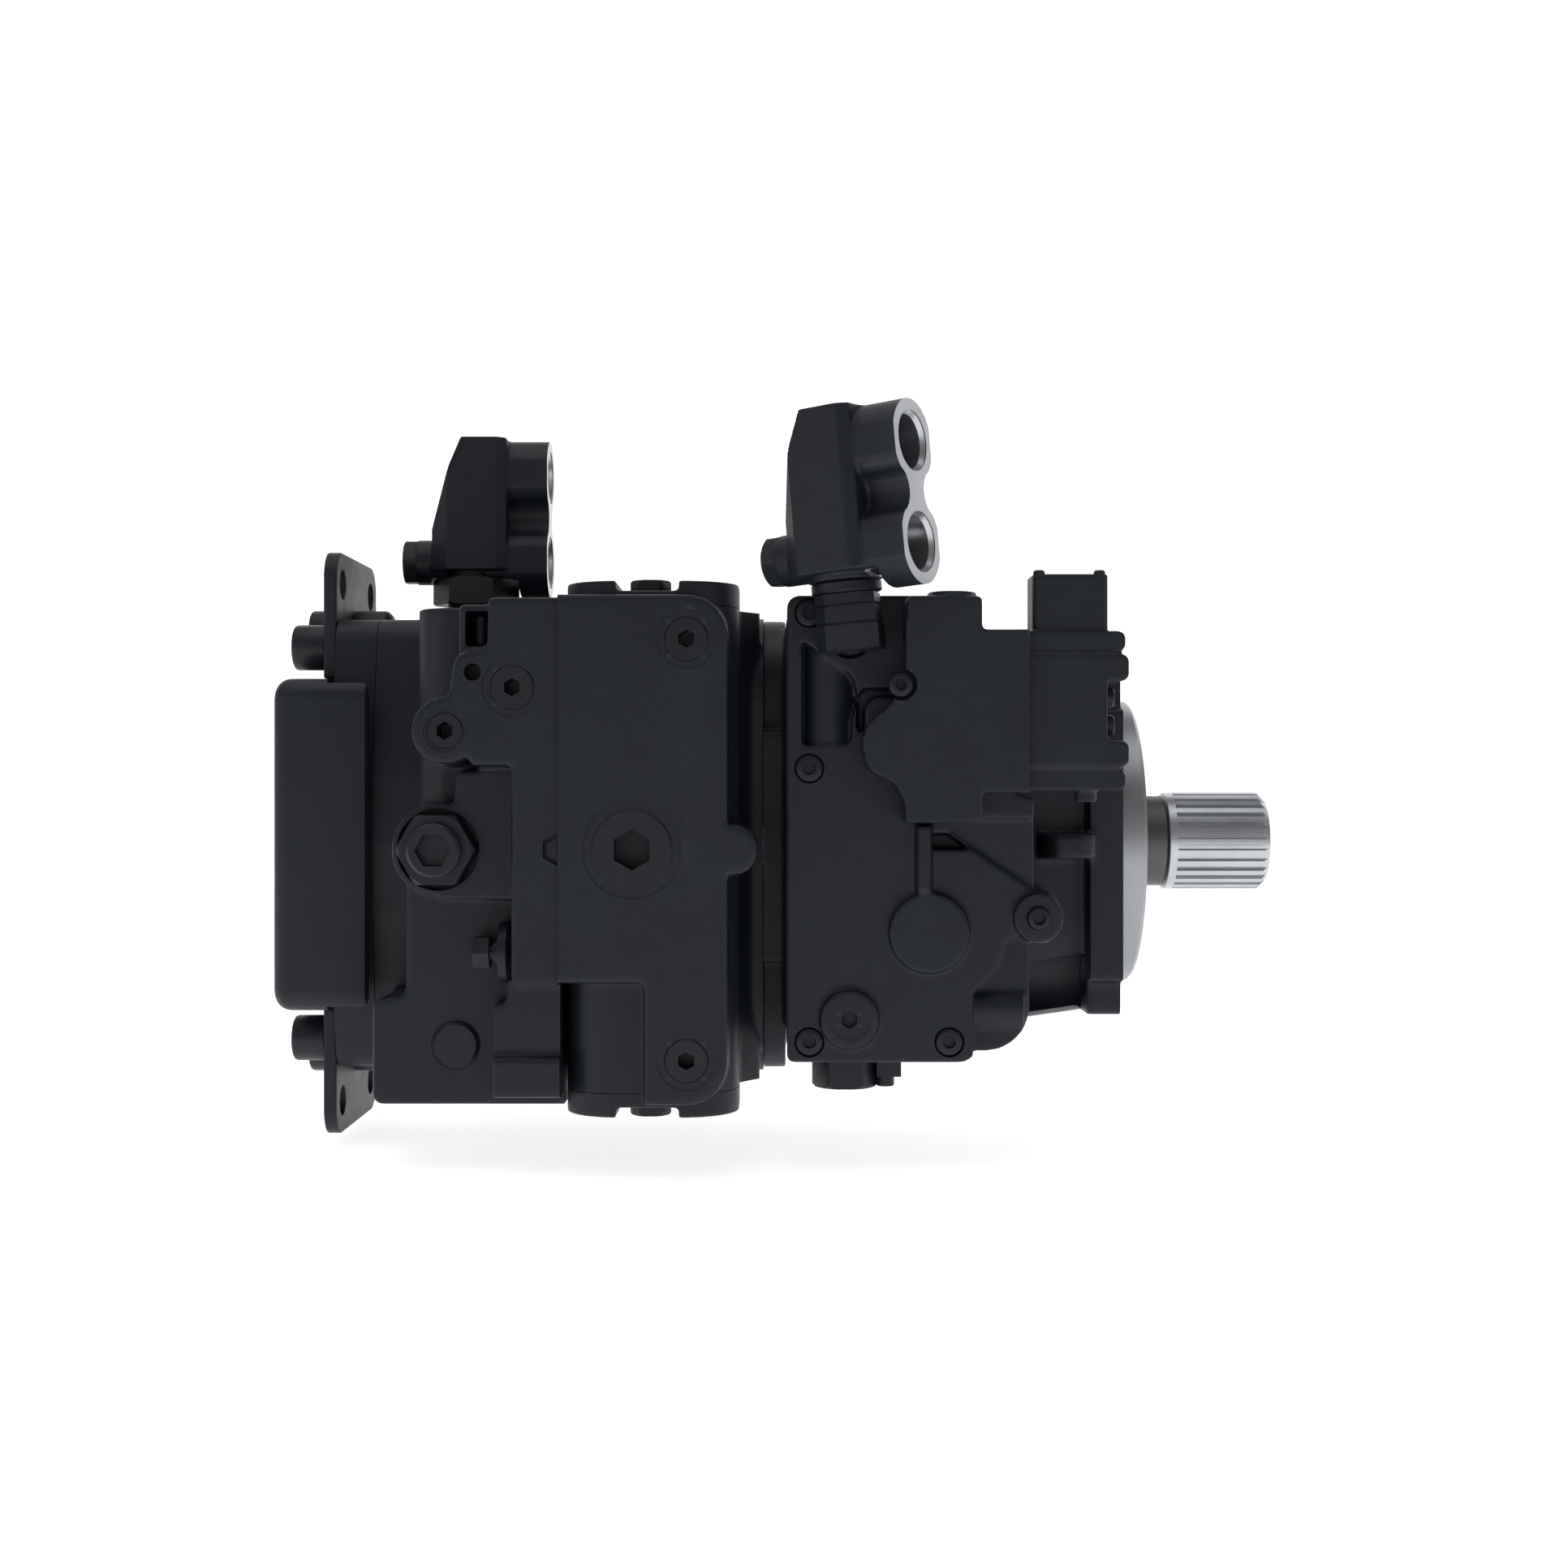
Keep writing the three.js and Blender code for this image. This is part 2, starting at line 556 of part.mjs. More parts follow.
function twinPortBlock(under = BLOCK_Z) {
  const side = outline([[-19, under], [16, under], [16, 73.4], [-4.5, 73.4], [-10, 60.6], [-19, 32]]);
  const plan = outline([[-19, -11], [-11, -19], [12, -19], [22, -11], [22, 11], [12, 19], [-11, 19], [-19, 11]]);
  const lobes = [LOWER_PORT_Z, LOWER_PORT_Z + PORT_PITCH];
  const body = prism("y", side, -20, 20).intersect(prism("z", plan, 0, 80));
  const waist = roundedRect([-7, 7], [LOWER_PORT_Z + 13, LOWER_PORT_Z + PORT_PITCH - 13], 0);
  const bosses = join(
    ...lobes.map((z) => rod("x", 16.5, 6, 34.5, [0, z], 18)),
    prism("x", waist, 6, 34.5),
  ).intersect(cut(block([0, 40], [-15.4, 15.4], [1, 73.4]), block([-1, 21], [-16, 16], [0, BLOCK_Z])));
  const plug = join(
    rod("x", 10.4, -27, -12, [0, LOWER_PORT_Z], 12),
    hexagon("x", 19, -32.7, -26, [0, LOWER_PORT_Z], 30 * DEG),
  );
  const passage = rod("z", 8, 0, LOWER_PORT_Z + PORT_PITCH, [0, 0], 10);
  const ports = lobes.flatMap((z) => [
    turned("x", [[0, 4], [10.6, 4], [10.6, 32.8], [PORT_R, 34.5], [PORT_R, 36], [0, 36]], [0, z], 16),
  ]);
  return cut(join(body, bosses, plug), passage, ...ports);
}

// The front block comes down round its fitting, and the rear block makes room for its locknut.
function frontPortBlock() {
  return join(twinPortBlock(), bearingRing(8, 15, 6, BLOCK_Z + 0.5, "z"));
}

function rearPortBlock() {
  const nutRoom = rod("z", NUT_AF / Math.sqrt(3) + 0.6, -5, NUT_ROOM_TOP, [0, 0], 30);
  const collarRoom = rod("z", COLLAR_R + 0.6, 0, REAR_BLOCK_UNDER, [0, 0], 30);
  return cut(twinPortBlock(REAR_BLOCK_UNDER), nutRoom, collarRoom);
}

function rearFittingStem() {
  const nutTop = REAR_BLOCK_Z + NUT_ROOM_TOP - GAP;
  const under = REAR_BLOCK_Z + REAR_BLOCK_UNDER - GAP;
  return join(
    rod("z", 8.6, -10, 5, [0, 0], 16),
    rod("z", 13, -6.2, 5, [0, 0], 24),
    hexagon("z", NUT_AF, 3.4, nutTop, [0, 0]),
    rod("z", COLLAR_R, nutTop - 1, under, [0, 0], 24),
    rod("z", 7, under - 1, under + 16, [0, 0], 10),
  );
}

function frontFittingElbow() {
  return join(
    rod("z", 12.4, -5.4, 5, [0, 0], 16),
    rod("z", 11.6, 4.6, 18, [0, 0], 16),
    rod("z", 14, 17.5, 21.7, [0, 0], 16),
    rod("z", 7, 21, 36, [0, 0], 10),
    rod("y", 8.4, 0, 22, [0, STUB_RISE], 14),
  );
}

function addPortBlocks() {
  const rear = new THREE.Group();
  rear.position.set(...REAR_FITTING);
  pump.add(rear);
  piece("rear_fitting", rearFittingStem(), blackSteel, rear);
  piece("rear_port_block", rearPortBlock(), blackPaint, rear).position.z = REAR_BLOCK_Z;

  const front = new THREE.Group();
  front.position.set(...FRONT_FITTING);
  front.rotation.y = FRONT_LEAN;
  pump.add(front);
  piece("front_fitting", frontFittingElbow(), blackSteel, front);
  const block = piece("front_port_block", frontPortBlock(), blackPaint, front);
  block.position.z = FRONT_BLOCK_Z;
  block.rotation.z = FRONT_TURN;
}

// ---------- rotating group ----------
function splineOutline() {
  const shape = new THREE.Shape();
  const step = (2 * Math.PI) / SPLINE_TEETH;
  const tooth = [[SPLINE_ROOT_R, -0.34], [SHAFT_R, -0.2], [SHAFT_R, 0.2], [SPLINE_ROOT_R, 0.34]];
  for (let i = 0; i < SPLINE_TEETH; i += 1) {
    tooth.forEach(([r, share], k) => {
      const angle = (i + share) * step;
      const to = [r * Math.cos(angle), r * Math.sin(angle)];
      if (i + k === 0) shape.moveTo(...to);
      else shape.lineTo(...to);
    });
  }
  shape.closePath();
  return shape;
}

function driveShaft() {
  const body = turned("x", [
    [0, -333], [11, -333], [11, -312], [15, -311], [15, -262], [15, -235], [17.5, -234], [17.5, -60],
    [19.7, -59], [19.7, 19], [21.5, 19.5], [21.5, 23], [SPLINE_ROOT_R - 0.1, 24.5],
    [SPLINE_ROOT_R - 0.1, 72], [18.6, SHAFT_END], [0, SHAFT_END],
  ], [0, 0], 18);
  return join(body, prism("x", splineOutline(), SPLINE_FROM, SHAFT_END - 2.4));
}

function pistonPlace(i) {
  const angle = (2 * Math.PI * i) / PISTON_COUNT + Math.PI / 2;
  return [PITCH_R * Math.cos(angle), PITCH_R * Math.sin(angle)];
}

function cylinderBlock() {
  const body = rod("x", BLOCK_R, BLOCK_REAR, BLOCK_FRONT, [0, 0], 27);
  const bores = Array.from({ length: PISTON_COUNT }, (_, i) =>
    rod("x", PISTON_R + 0.5, BLOCK_REAR - 1, BLOCK_FRONT + 1, pistonPlace(i), 12));
  return cut(body, rod("x", 17.5 + GAP, -240, -160, [0, 0], 24), ...bores);
}

function addPistons() {
  const body = turned("x", [
    [0, PISTON_REAR], [PISTON_R, PISTON_REAR],
    [PISTON_R, PISTON_FRONT - 6], [6, PISTON_FRONT - 4], [6, PISTON_FRONT], [0, PISTON_FRONT],
  ], [0, 0], 12);
  for (let i = 0; i < PISTON_COUNT; i += 1) {
    const [y, z] = pistonPlace(i);
    piece(`piston_${i + 1}`, body, brightSteel).position.set(0, y, z);
  }
}

function slipperSet() {
  const shoes = Array.from({ length: PISTON_COUNT }, (_, i) =>
    rod("x", 11.5, SWASH_FACE - 7, SWASH_FACE - 3, pistonPlace(i), 9));
  const ring = rod("x", 54, SWASH_FACE - 4, SWASH_FACE - GAP, [0, 0], 18);
  return cut(join(ring, ...shoes), rod("x", 27, -160, -130, [0, 0], 18));
}

function bearingRing(inner, outer, from, to, axis = "x") {
  return cut(rod(axis, outer, from, to, [0, 0], 20), rod(axis, inner, from - 1, to + 1, [0, 0], 20));
}

function valvePlate() {
  const kidney = (sign) => {
    const shape = new THREE.Shape();
    shape.absarc(0, 0, PITCH_R + 4.5, sign * 70 * DEG, sign * -70 * DEG, sign > 0);
    shape.absarc(0, 0, PITCH_R - 4.5, sign * -70 * DEG, sign * 70 * DEG, sign < 0);
    return prism("x", shape, -234, -226, 6);
  };
  const far = kidney(1);
  return cut(bearingRing(18.2, 58, REAR_SEAM + 2 * GAP, BLOCK_REAR - GAP), far, far.mirror([0, 1, 0]));
}

// ---------- swashplate and servo ----------
const ARM_Y = [-84, -74];
const PIN_R = 5;

function swashplate() {
  const cradle = rod("y", CRADLE_R, -50, 50, [PIVOT_X, 0], 32)
    .intersect(block([SWASH_FACE, -60], [-60, 60], [-60, 60]));
  const body = join(
    cradle,
    rod("x", 58, SWASH_FACE, -126, [0, 0], 24),
    block([-137, -122], [ARM_Y[0], -45], [-10, 10]),
    block([-204, -122], ARM_Y, [-8, 8]),
    rod("y", PIN_R, -104, -80, [SERVO_X, 0], 12),
  );
  const shaftRoom = turned("x", [[0, -150], [24, -150], [25, SWASH_FACE], [36, -80], [0, -80]], [0, 0], 18);
  return cut(body, shaftRoom);
}

function cradleBearing(side) {
  const ring = rod("y", CRADLE_R + 3.2, 38, 49, [PIVOT_X, 0], 32);
  const shell = cut(ring, rod("y", CRADLE_R + 0.6, 30, 60, [PIVOT_X, 0], 32))
    .intersect(block([-106, -70], [30, 60], [-38, 38]));
  return side > 0 ? shell : shell.mirror([0, 1, 0]);
}

function servoPiston() {
  return cut(
    rod("z", SERVO_R, -58, 58, [SERVO_X, SERVO_Y], 16),
    block([SERVO_X - 9, SERVO_X + 9], [-106, -80], [-PIN_R - GAP, PIN_R + GAP]),
    rod("z", 9, -60, -30, [SERVO_X, SERVO_Y], 16),
    rod("z", 9, 30, 60, [SERVO_X, SERVO_Y], 16),
  );
}

// ---------- charge pump rotors ----------
// The inner rotor is the curve that the ring's round lobes sweep as the two turn together.
const RING_LOBE_AT = 24;
const RING_LOBE_R = 7;

function chargeInner() {
  const lobes = CHARGE_LOBES + 1;
  const away = RING_LOBE_R + 0.6;
  const shape = new THREE.Shape();
  const count = lobes * 10;
  for (let i = 0; i < count; i += 1) {
    const turn = (2 * Math.PI * i) / count;
    const lean = Math.atan2(
      Math.sin((1 - lobes) * turn),
      RING_LOBE_AT / (CHARGE_OFFSET * lobes) - Math.cos((1 - lobes) * turn),
    );
    const y = RING_LOBE_AT * Math.cos(turn) - away * Math.cos(turn + lean)
      - CHARGE_OFFSET * Math.cos(lobes * turn);
    const z = -RING_LOBE_AT * Math.sin(turn) + away * Math.sin(turn + lean)
      + CHARGE_OFFSET * Math.sin(lobes * turn);
    if (i === 0) shape.moveTo(z, y);
    else shape.lineTo(z, y);
  }
  shape.closePath();
  return cut(prism("x", shape, -333.6, CHARGE_SEAM - GAP), rod("x", 11.3, -340, -310, [0, 0], 24));
}

function chargeRing() {
  const lobes = Array.from({ length: CHARGE_LOBES + 1 }, (_, i) => {
    const angle = (2 * Math.PI * i) / (CHARGE_LOBES + 1) + Math.PI / 2;
    const at = [RING_LOBE_AT * Math.cos(angle), RING_LOBE_AT * Math.sin(angle)];
    return rod("x", RING_LOBE_R, -333.6, CHARGE_SEAM - GAP, at, 12);
  });
  return join(bearingRing(RING_LOBE_AT - 0.2, CHARGE_RING_R, -333.6, CHARGE_SEAM - GAP), ...lobes);
}

// ---------- assembly ----------
piece("front_housing", frontHousing(), blackPaint);
piece("main_housing", mainHousing(), blackPaint);
piece("end_cap", endCap(), blackPaint);
piece("charge_pump_housing", chargePumpHousing(), blackPaint);
piece("rear_cover", rearCover(), blackPaint);
piece("lifting_bracket_upper", liftingBracket(), blackPaint);
piece("lifting_bracket_lower", mirrorZ(liftingBracket()), blackPaint);
BRACKET_SCREWS.forEach(([y, z], i) => {
  const screw = capScrew(10, 14.6, 6, 16, 10);
  placeScrew(`bracket_screw_${i + 1}`, screw, [REAR_FACE - 6 - GAP, y, z], [-1, 0, 0]);
});

piece("servo_cap_upper", servoCap(), blackPaint);
piece("servo_cap_lower", mirrorZ(servoCap()), blackPaint);
piece("limiter_screw_upper", limiterScrew(), blackSteel);
piece("limiter_screw_lower", mirrorZ(limiterScrew()), blackSteel);
piece("main_plug", mainPlug(), blackSteel);
piece("relief_cartridge", reliefCartridge(), blackSteel);

piece("control_cover", controlCover(), blackPaint);
piece("control_housing", controlHousing(), blackPaint);
piece("solenoid_block", solenoidBlock(), blackPlastic);
COVER_SCREWS.forEach(([x, z], i) => {
  const y = i < 4 ? COVER_FACE + 5 - GAP : -119 - GAP;
  placeScrew(`cover_screw_${i + 1}`, capScrew(SCREW_HEAD_R, 4.4, 3, 16, 5), [x, y, z], [0, -1, 0]);
});
piece("control_spool", turned("z", [
  [0, 33], [6.2, 33], [6.2, 43], [4, 44], [4, 50], [6.2, 51], [6.2, 61], [4, 62], [4, 68], [6.2, 69],
  [6.2, 77], [0, 77],
], [-80, -129], 12), brightSteel);
overrideButton("override_button_upper", BUTTONS_Z[0]);
overrideButton("override_button_lower", BUTTONS_Z[1]);
addPortBlocks();

piece("drain_plug", hexagon("z", 24, -99, -86 - GAP, [-118, -93]), blackSteel);

piece("seal_carrier", bearingRing(26, SEAL_BORE_R - GAP, 2, 10), brightSteel);
piece("shaft_seal", bearingRing(SHAFT_R - 2, 26 - GAP, 3, 9), blackRubber);
piece("front_bearing_outer", bearingRing(30, BEARING_R, -57, -37.3), brightSteel);
piece("rear_bearing_outer", bearingRing(20.5, 26, -261, -246), brightSteel);
piece("valve_plate", valvePlate(), bronze);
piece("cradle_bearing_near", cradleBearing(-1), bronze);
piece("cradle_bearing_far", cradleBearing(1), bronze);

piece("drive_shaft", driveShaft(), brightSteel);
piece("cylinder_block", cylinderBlock(), brightSteel);
piece("front_bearing_inner", bearingRing(20, 29.6, -57, -37.3), brightSteel);
piece("charge_rotor_inner", chargeInner(), brightSteel);
addPistons();

piece("charge_rotor_ring", chargeRing(), brightSteel).position.z = -CHARGE_OFFSET;
piece("swashplate", swashplate(), brightSteel);
piece("slipper_set", slipperSet(), bronze);
piece("servo_piston", servoPiston(), brightSteel);

export default pump;
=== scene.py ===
"""The looks of the axial piston pump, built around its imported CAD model.

Shapes are drawn in millimetres in the frame's axes: +X along the shaft to its driven end, +Z up,
-Y the control side. A casting is the union of rough shapes, rounded as a foundry pattern is, and
then cut by crisp tools as a machine shop would.
"""
import json
import math

import bmesh
import bpy
import numpy as np
from mathutils import Matrix, Vector


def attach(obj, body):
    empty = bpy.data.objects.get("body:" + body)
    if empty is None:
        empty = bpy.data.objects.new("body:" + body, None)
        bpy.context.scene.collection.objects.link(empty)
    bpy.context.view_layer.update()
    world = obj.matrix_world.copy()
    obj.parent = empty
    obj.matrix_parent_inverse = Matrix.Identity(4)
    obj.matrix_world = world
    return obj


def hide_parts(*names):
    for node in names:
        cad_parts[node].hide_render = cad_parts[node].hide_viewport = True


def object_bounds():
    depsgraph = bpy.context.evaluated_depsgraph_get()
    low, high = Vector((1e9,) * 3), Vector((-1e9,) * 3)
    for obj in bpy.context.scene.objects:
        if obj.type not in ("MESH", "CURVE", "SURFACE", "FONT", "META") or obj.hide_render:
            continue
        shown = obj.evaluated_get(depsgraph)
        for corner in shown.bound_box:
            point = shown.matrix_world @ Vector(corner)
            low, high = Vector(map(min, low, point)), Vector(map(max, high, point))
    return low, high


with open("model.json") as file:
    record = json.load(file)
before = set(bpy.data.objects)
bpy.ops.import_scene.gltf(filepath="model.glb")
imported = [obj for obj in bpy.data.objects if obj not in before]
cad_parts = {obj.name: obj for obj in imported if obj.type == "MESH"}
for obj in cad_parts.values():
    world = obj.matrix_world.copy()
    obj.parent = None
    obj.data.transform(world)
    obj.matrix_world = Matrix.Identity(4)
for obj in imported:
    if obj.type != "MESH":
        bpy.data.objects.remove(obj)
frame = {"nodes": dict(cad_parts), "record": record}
cad_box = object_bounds()

MM = 0.001
ARC_STEP = math.radians(6)
SHARP = math.radians(32)
VOXEL = 1.15

# ---------- sizes that several pieces share, as in the CAD model ----------
# Seams and faces across the shaft, as X, from the flange face at 0 backwards.
FRONT_SEAM = -152
REAR_SEAM = -232.6
CHARGE_SEAM = -320
REAR_FACE = -338
COVER_REAR = -361
# The flange, its pilot and its bolt holes.
PILOT_R = 63.5
PILOT_LENGTH = 12.7
FLANGE_THICK = 14.3
FLANGE_HOLE = 57.25
SPOTFACE_OUT = 1.06
# The servo cylinder's axis, as (X, Y), and the top of its caps.
SERVO = (-197.4, -108)
SERVO_TOP = 106.8
# Machined faces on the control side, as Y.
PLATE_FACE = -139
CAP_PLATE_FACE = PLATE_FACE + 2
COVER_FACE = -118
PAD_FACE = -100
# Clearance between pieces, and the small plugs' sockets across flats.
GAP = 0.3
SMALL_KEY = 6.2

# ---------- spans that reach past the whole pump, for the cutting blocks ----------
ACROSS = (-120, 120)
ACROSS_ALL = (-150, 120)
TALL = (-120, 120)

# ---------- solids ----------
DEPTH_LAST = {"x": (2, 0, 1), "y": (0, 2, 1), "z": (0, 1, 2)}


def oriented(points, faces):
    """A closed mesh whose faces all look outwards."""
    mesh = bpy.data.meshes.new("solid")
    mesh.from_pydata(points, [], faces)
    work = bmesh.new()
    work.from_mesh(mesh)
    bmesh.ops.recalc_face_normals(work, faces=work.faces)
    work.to_mesh(mesh)
    work.free()
    return mesh


def in_space(axis, u, v, along):
    """A point drawn in an axis's plane: (Y, Z) for x, (X, Z) for y and (X, Y) for z."""
    first, second, third = DEPTH_LAST[axis]
    return [(u, v, along)[first], (u, v, along)[second], (u, v, along)[third]]


def outline(*corners):
    """A closed outline. A corner (u, v, reach) is rounded by an arc that starts reach before it."""
    points = []
    for i, corner in enumerate(corners):
        here = Vector(corner[:2])
        reach = corner[2] if len(corner) > 2 else 0
        if not reach:
            points.append(here)
            continue
        back = (Vector(corners[i - 1][:2]) - here).normalized()
        onward = (Vector(corners[(i + 1) % len(corners)][:2]) - here).normalized()
        half = back.angle(onward) / 2
        centre = here + (back + onward).normalized() * (reach / math.cos(half))
        start = here + back * reach - centre
        sweep = math.copysign(math.pi - 2 * half, back.cross(onward))
        steps = max(2, math.ceil(abs(sweep) / ARC_STEP))
        for k in range(steps + 1):
            turn = Matrix.Rotation(-sweep * k / steps, 2)
            points.append(centre + turn @ start)
    return points


def rounded_rect(us, vs, reach):
    (u0, u1), (v0, v1) = us, vs
    return outline((u0, v0, reach), (u1, v0, reach), (u1, v1, reach), (u0, v1, reach))


def polygon(sides, radius, at=(0, 0), turn=0.0):
    """A regular polygon by its corner radius."""
    angles = [turn + 2 * math.pi * i / sides for i in range(sides)]
    return [Vector((at[0] + radius * math.cos(a), at[1] + radius * math.sin(a))) for a in angles]


def loft(axis, sections):
    """A skin over sections (outline, distance along the axis) that have equal point counts."""
    n = len(sections[0][0])
    points = [in_space(axis, p.x, p.y, along) for shape, along in sections for p in shape]
    faces = [tuple(range(n)), tuple(range(len(points) - n, len(points)))]
    for low in range(0, len(points) - n, n):
        faces += [(low + i, low + (i + 1) % n, low + n + (i + 1) % n, low + n + i)
                  for i in range(n)]
    return oriented(points, faces)


def prism(axis, shape, start, end, end_scale=(1, 1)):
    """An outline pushed along an axis, with its far end scaled for a taper."""
    far = [Vector((p.x * end_scale[0], p.y * end_scale[1])) for p in shape]
    return loft(axis, [(shape, start), (far, end)])


def block(xs, ys, zs):
    return prism("z", outline((xs[0], ys[0]), (xs[1], ys[0]), (xs[1], ys[1]), (xs[0], ys[1])), *zs)


def turned(axis, profile, at=(0, 0), sides=72):
    """A turned solid. The profile is (radius, distance along the axis), from axis to axis."""
    points, rings = [], []
    for radius, along in profile:
        ring = [len(points)]
        if radius == 0:
            points.append(in_space(axis, *at, along))
        else:
            ring = list(range(len(points), len(points) + sides))
            points += [in_space(axis, p.x, p.y, along) for p in polygon(sides, radius, at)]
        rings.append(ring)
    faces = []
    for low, high in zip(rings, rings[1:]):
        for i in range(sides):
            k = (i + 1) % sides
            quad = (low[i % len(low)], low[k % len(low)], high[k % len(high)], high[i % len(high)])
            faces.append(tuple(dict.fromkeys(quad)))
    return oriented(points, faces)


def rod(axis, radius, start, end, at=(0, 0), sides=64):
    return turned(axis, [(0, start), (radius, start), (radius, end), (0, end)], at, sides)


def disc(axis, radius, chamfer, start, end, at=(0, 0), sides=72):
    """A rod whose end edge is chamfered; end may lie on either side of start."""
    inset = math.copysign(chamfer, end - start)
    return turned(axis, [(0, start), (radius, start), (radius, end - inset),
                         (radius - chamfer, end), (0, end)], at, sides)


def hexagon(axis, across_flats, start, end, at=(0, 0), turn=0.0):
    return prism(axis, polygon(6, across_flats / math.sqrt(3), at, turn), start, end)


def together(*meshes):
    """One mesh that holds several, side by side and not merged."""
    work = bmesh.new()
    for mesh in meshes:
        work.from_mesh(mesh)
    result = bpy.data.meshes.new("solid")
    work.to_mesh(result)
    work.free()
    return result


def with_modifiers(mesh, add_modifiers):
    """The mesh after the modifiers that add_modifiers(object) puts on it."""
    holder = bpy.data.objects.new("holder", mesh)
    bpy.context.scene.collection.objects.link(holder)
    add_modifiers(holder)
    graph = bpy.context.evaluated_depsgraph_get()
    result = bpy.data.meshes.new_from_object(holder.evaluated_get(graph))
    bpy.data.objects.remove(holder)
    return result


def combine(mesh, tools, operation):
    for tool in tools:
        other = bpy.data.objects.new("tool", tool)
        bpy.context.scene.collection.objects.link(other)

        def add(holder):
            boolean = holder.modifiers.new("boolean", "BOOLEAN")
            boolean.operation = operation
            boolean.solver = "MANIFOLD"
            boolean.object = other

        mesh = with_modifiers(mesh, add)
        bpy.data.objects.remove(other)
    return mesh


def cut(mesh, *tools):
    return combine(mesh, tools, "DIFFERENCE")


def join(mesh, *others):
    return combine(mesh, others, "UNION")


def common(mesh, *others):
    return combine(mesh, others, "INTERSECT")


def moved(mesh, x=0, y=0, z=0):
    mesh.transform(Matrix.Translation((x, y, z)))
    return mesh


def mirrored(mesh, axis):
    """A copy reflected through the origin's plane across the axis, 0 for X to 2 for Z."""
    copy = mesh.copy()
    scale = [1, 1, 1]
    scale[axis] = -1
    copy.transform(Matrix.Diagonal((*scale, 1)))
    copy.flip_normals()
    return copy


def cast(*shapes, voxel=VOXEL, rounding=6, keep=0.4):
    """The union of the shapes with every edge and inner corner rounded."""
    def add(holder):
        remesh = holder.modifiers.new("voxels", "REMESH")
        remesh.mode = "VOXEL"
        remesh.voxel_size = voxel
        smooth = holder.modifiers.new("fillets", "SMOOTH")
        smooth.factor = 0.5
        smooth.iterations = rounding
        fewer = holder.modifiers.new("fewer", "DECIMATE")
        fewer.ratio = keep

    return with_modifiers(together(*shapes), add)


# ---------- materials ----------
SPECULAR = 0.32
COLOUR_DRIFT_SCALE = 38.0
GLOSS_DRIFT_SCALE = 95.0
# Pointiness span over which the painted edge highlight fades in.
HIGHLIGHT_FROM, HIGHLIGHT_TO = 0.53, 0.62
TURNING_DEPTH = 0.004
CAST_SKIN = ((160.0, 0.10, 3.0), (620.0, 0.035, 2.0), (2600.0, 0.008, 1.0))
PEEL = ((900.0, 0.012, 2.0), (3200.0, 0.004, 1.0))
SCRATCHES = ((1400.0, 0.006, 6.0),)
PAINT = (0.0068, 0.0098, 0.0155)
# A paler paint colour, painted on convex edges as a highlight.
PAINTED_EDGE_HIGHLIGHT = (0.018, 0.023, 0.031)


def node(tree, kind, **settings):
    """A shader node whose settings are its own properties or else its inputs."""
    made = tree.nodes.new("ShaderNode" + kind)
    for name, value in settings.items():
        if hasattr(made, name):
            setattr(made, name, value)
        else:
            made.inputs[name.replace("_", " ").capitalize()].default_value = value
    return made


def finish(name, colour, rough, metallic=0.0, grain=(), variation=0.12, edge_highlight=None):
    """A finish whose colour and roughness drift a little. grain lists (scale, height in mm, detail)
    of the bumps from coarse to fine; the colour given last is painted on convex edges as a highlight."""
    material = bpy.data.materials.new(name)
    material.use_nodes = True
    tree = material.node_tree
    shader = tree.nodes["Principled BSDF"]
    shader.inputs["Metallic"].default_value = metallic
    shader.inputs["Specular IOR Level"].default_value = SPECULAR
    place = tree.nodes.new("ShaderNodeTexCoord").outputs["Object"]

    drift = node(tree, "TexNoise", scale=COLOUR_DRIFT_SCALE, detail=5.0)
    tree.links.new(place, drift.inputs["Vector"])
    ramp = node(tree, "ValToRGB")
    ramp.color_ramp.elements[0].position = 0.3
    ramp.color_ramp.elements[1].position = 0.7
    ramp.color_ramp.elements[0].color = [c * (1 - variation) for c in colour] + [1]
    ramp.color_ramp.elements[1].color = [c * (1 + variation) for c in colour] + [1]
    tree.links.new(drift.outputs["Fac"], ramp.inputs["Fac"])
    shown = ramp.outputs["Color"]

    # Painted highlight: convex edges, picked by pointiness, are blended towards a paler colour.
    if edge_highlight:
        edge = node(tree, "NewGeometry").outputs["Pointiness"]
        limits = node(tree, "MapRange")
        limits.inputs["From Min"].default_value = HIGHLIGHT_FROM
        limits.inputs["From Max"].default_value = HIGHLIGHT_TO
        tree.links.new(edge, limits.inputs["Value"])
        blend = node(tree, "Mix", data_type="RGBA")
        tree.links.new(limits.outputs["Result"], blend.inputs[0])
        tree.links.new(shown, blend.inputs[6])
        blend.inputs[7].default_value = (*edge_highlight, 1)
        shown = blend.outputs[2]
    tree.links.new(shown, shader.inputs["Base Color"])

    gloss = node(tree, "TexNoise", scale=GLOSS_DRIFT_SCALE, detail=4.0)
    tree.links.new(place, gloss.inputs["Vector"])
    span = node(tree, "MapRange")
    span.inputs["To Min"].default_value = rough[0]
    span.inputs["To Max"].default_value = rough[1]
    tree.links.new(gloss.outputs["Fac"], span.inputs["Value"])
    tree.links.new(span.outputs["Result"], shader.inputs["Roughness"])

    normal = None
    for scale, height, detail in grain:
        texture = node(tree, "TexNoise", scale=scale, detail=detail)
        tree.links.new(place, texture.inputs["Vector"])
        bump = node(tree, "Bump", strength=1.0, distance=height * MM)
        tree.links.new(texture.outputs["Fac"], bump.inputs["Height"])
        if normal:
            tree.links.new(normal, bump.inputs["Normal"])
        normal = bump.outputs["Normal"]
    if normal:
        tree.links.new(normal, shader.inputs["Normal"])
    return material


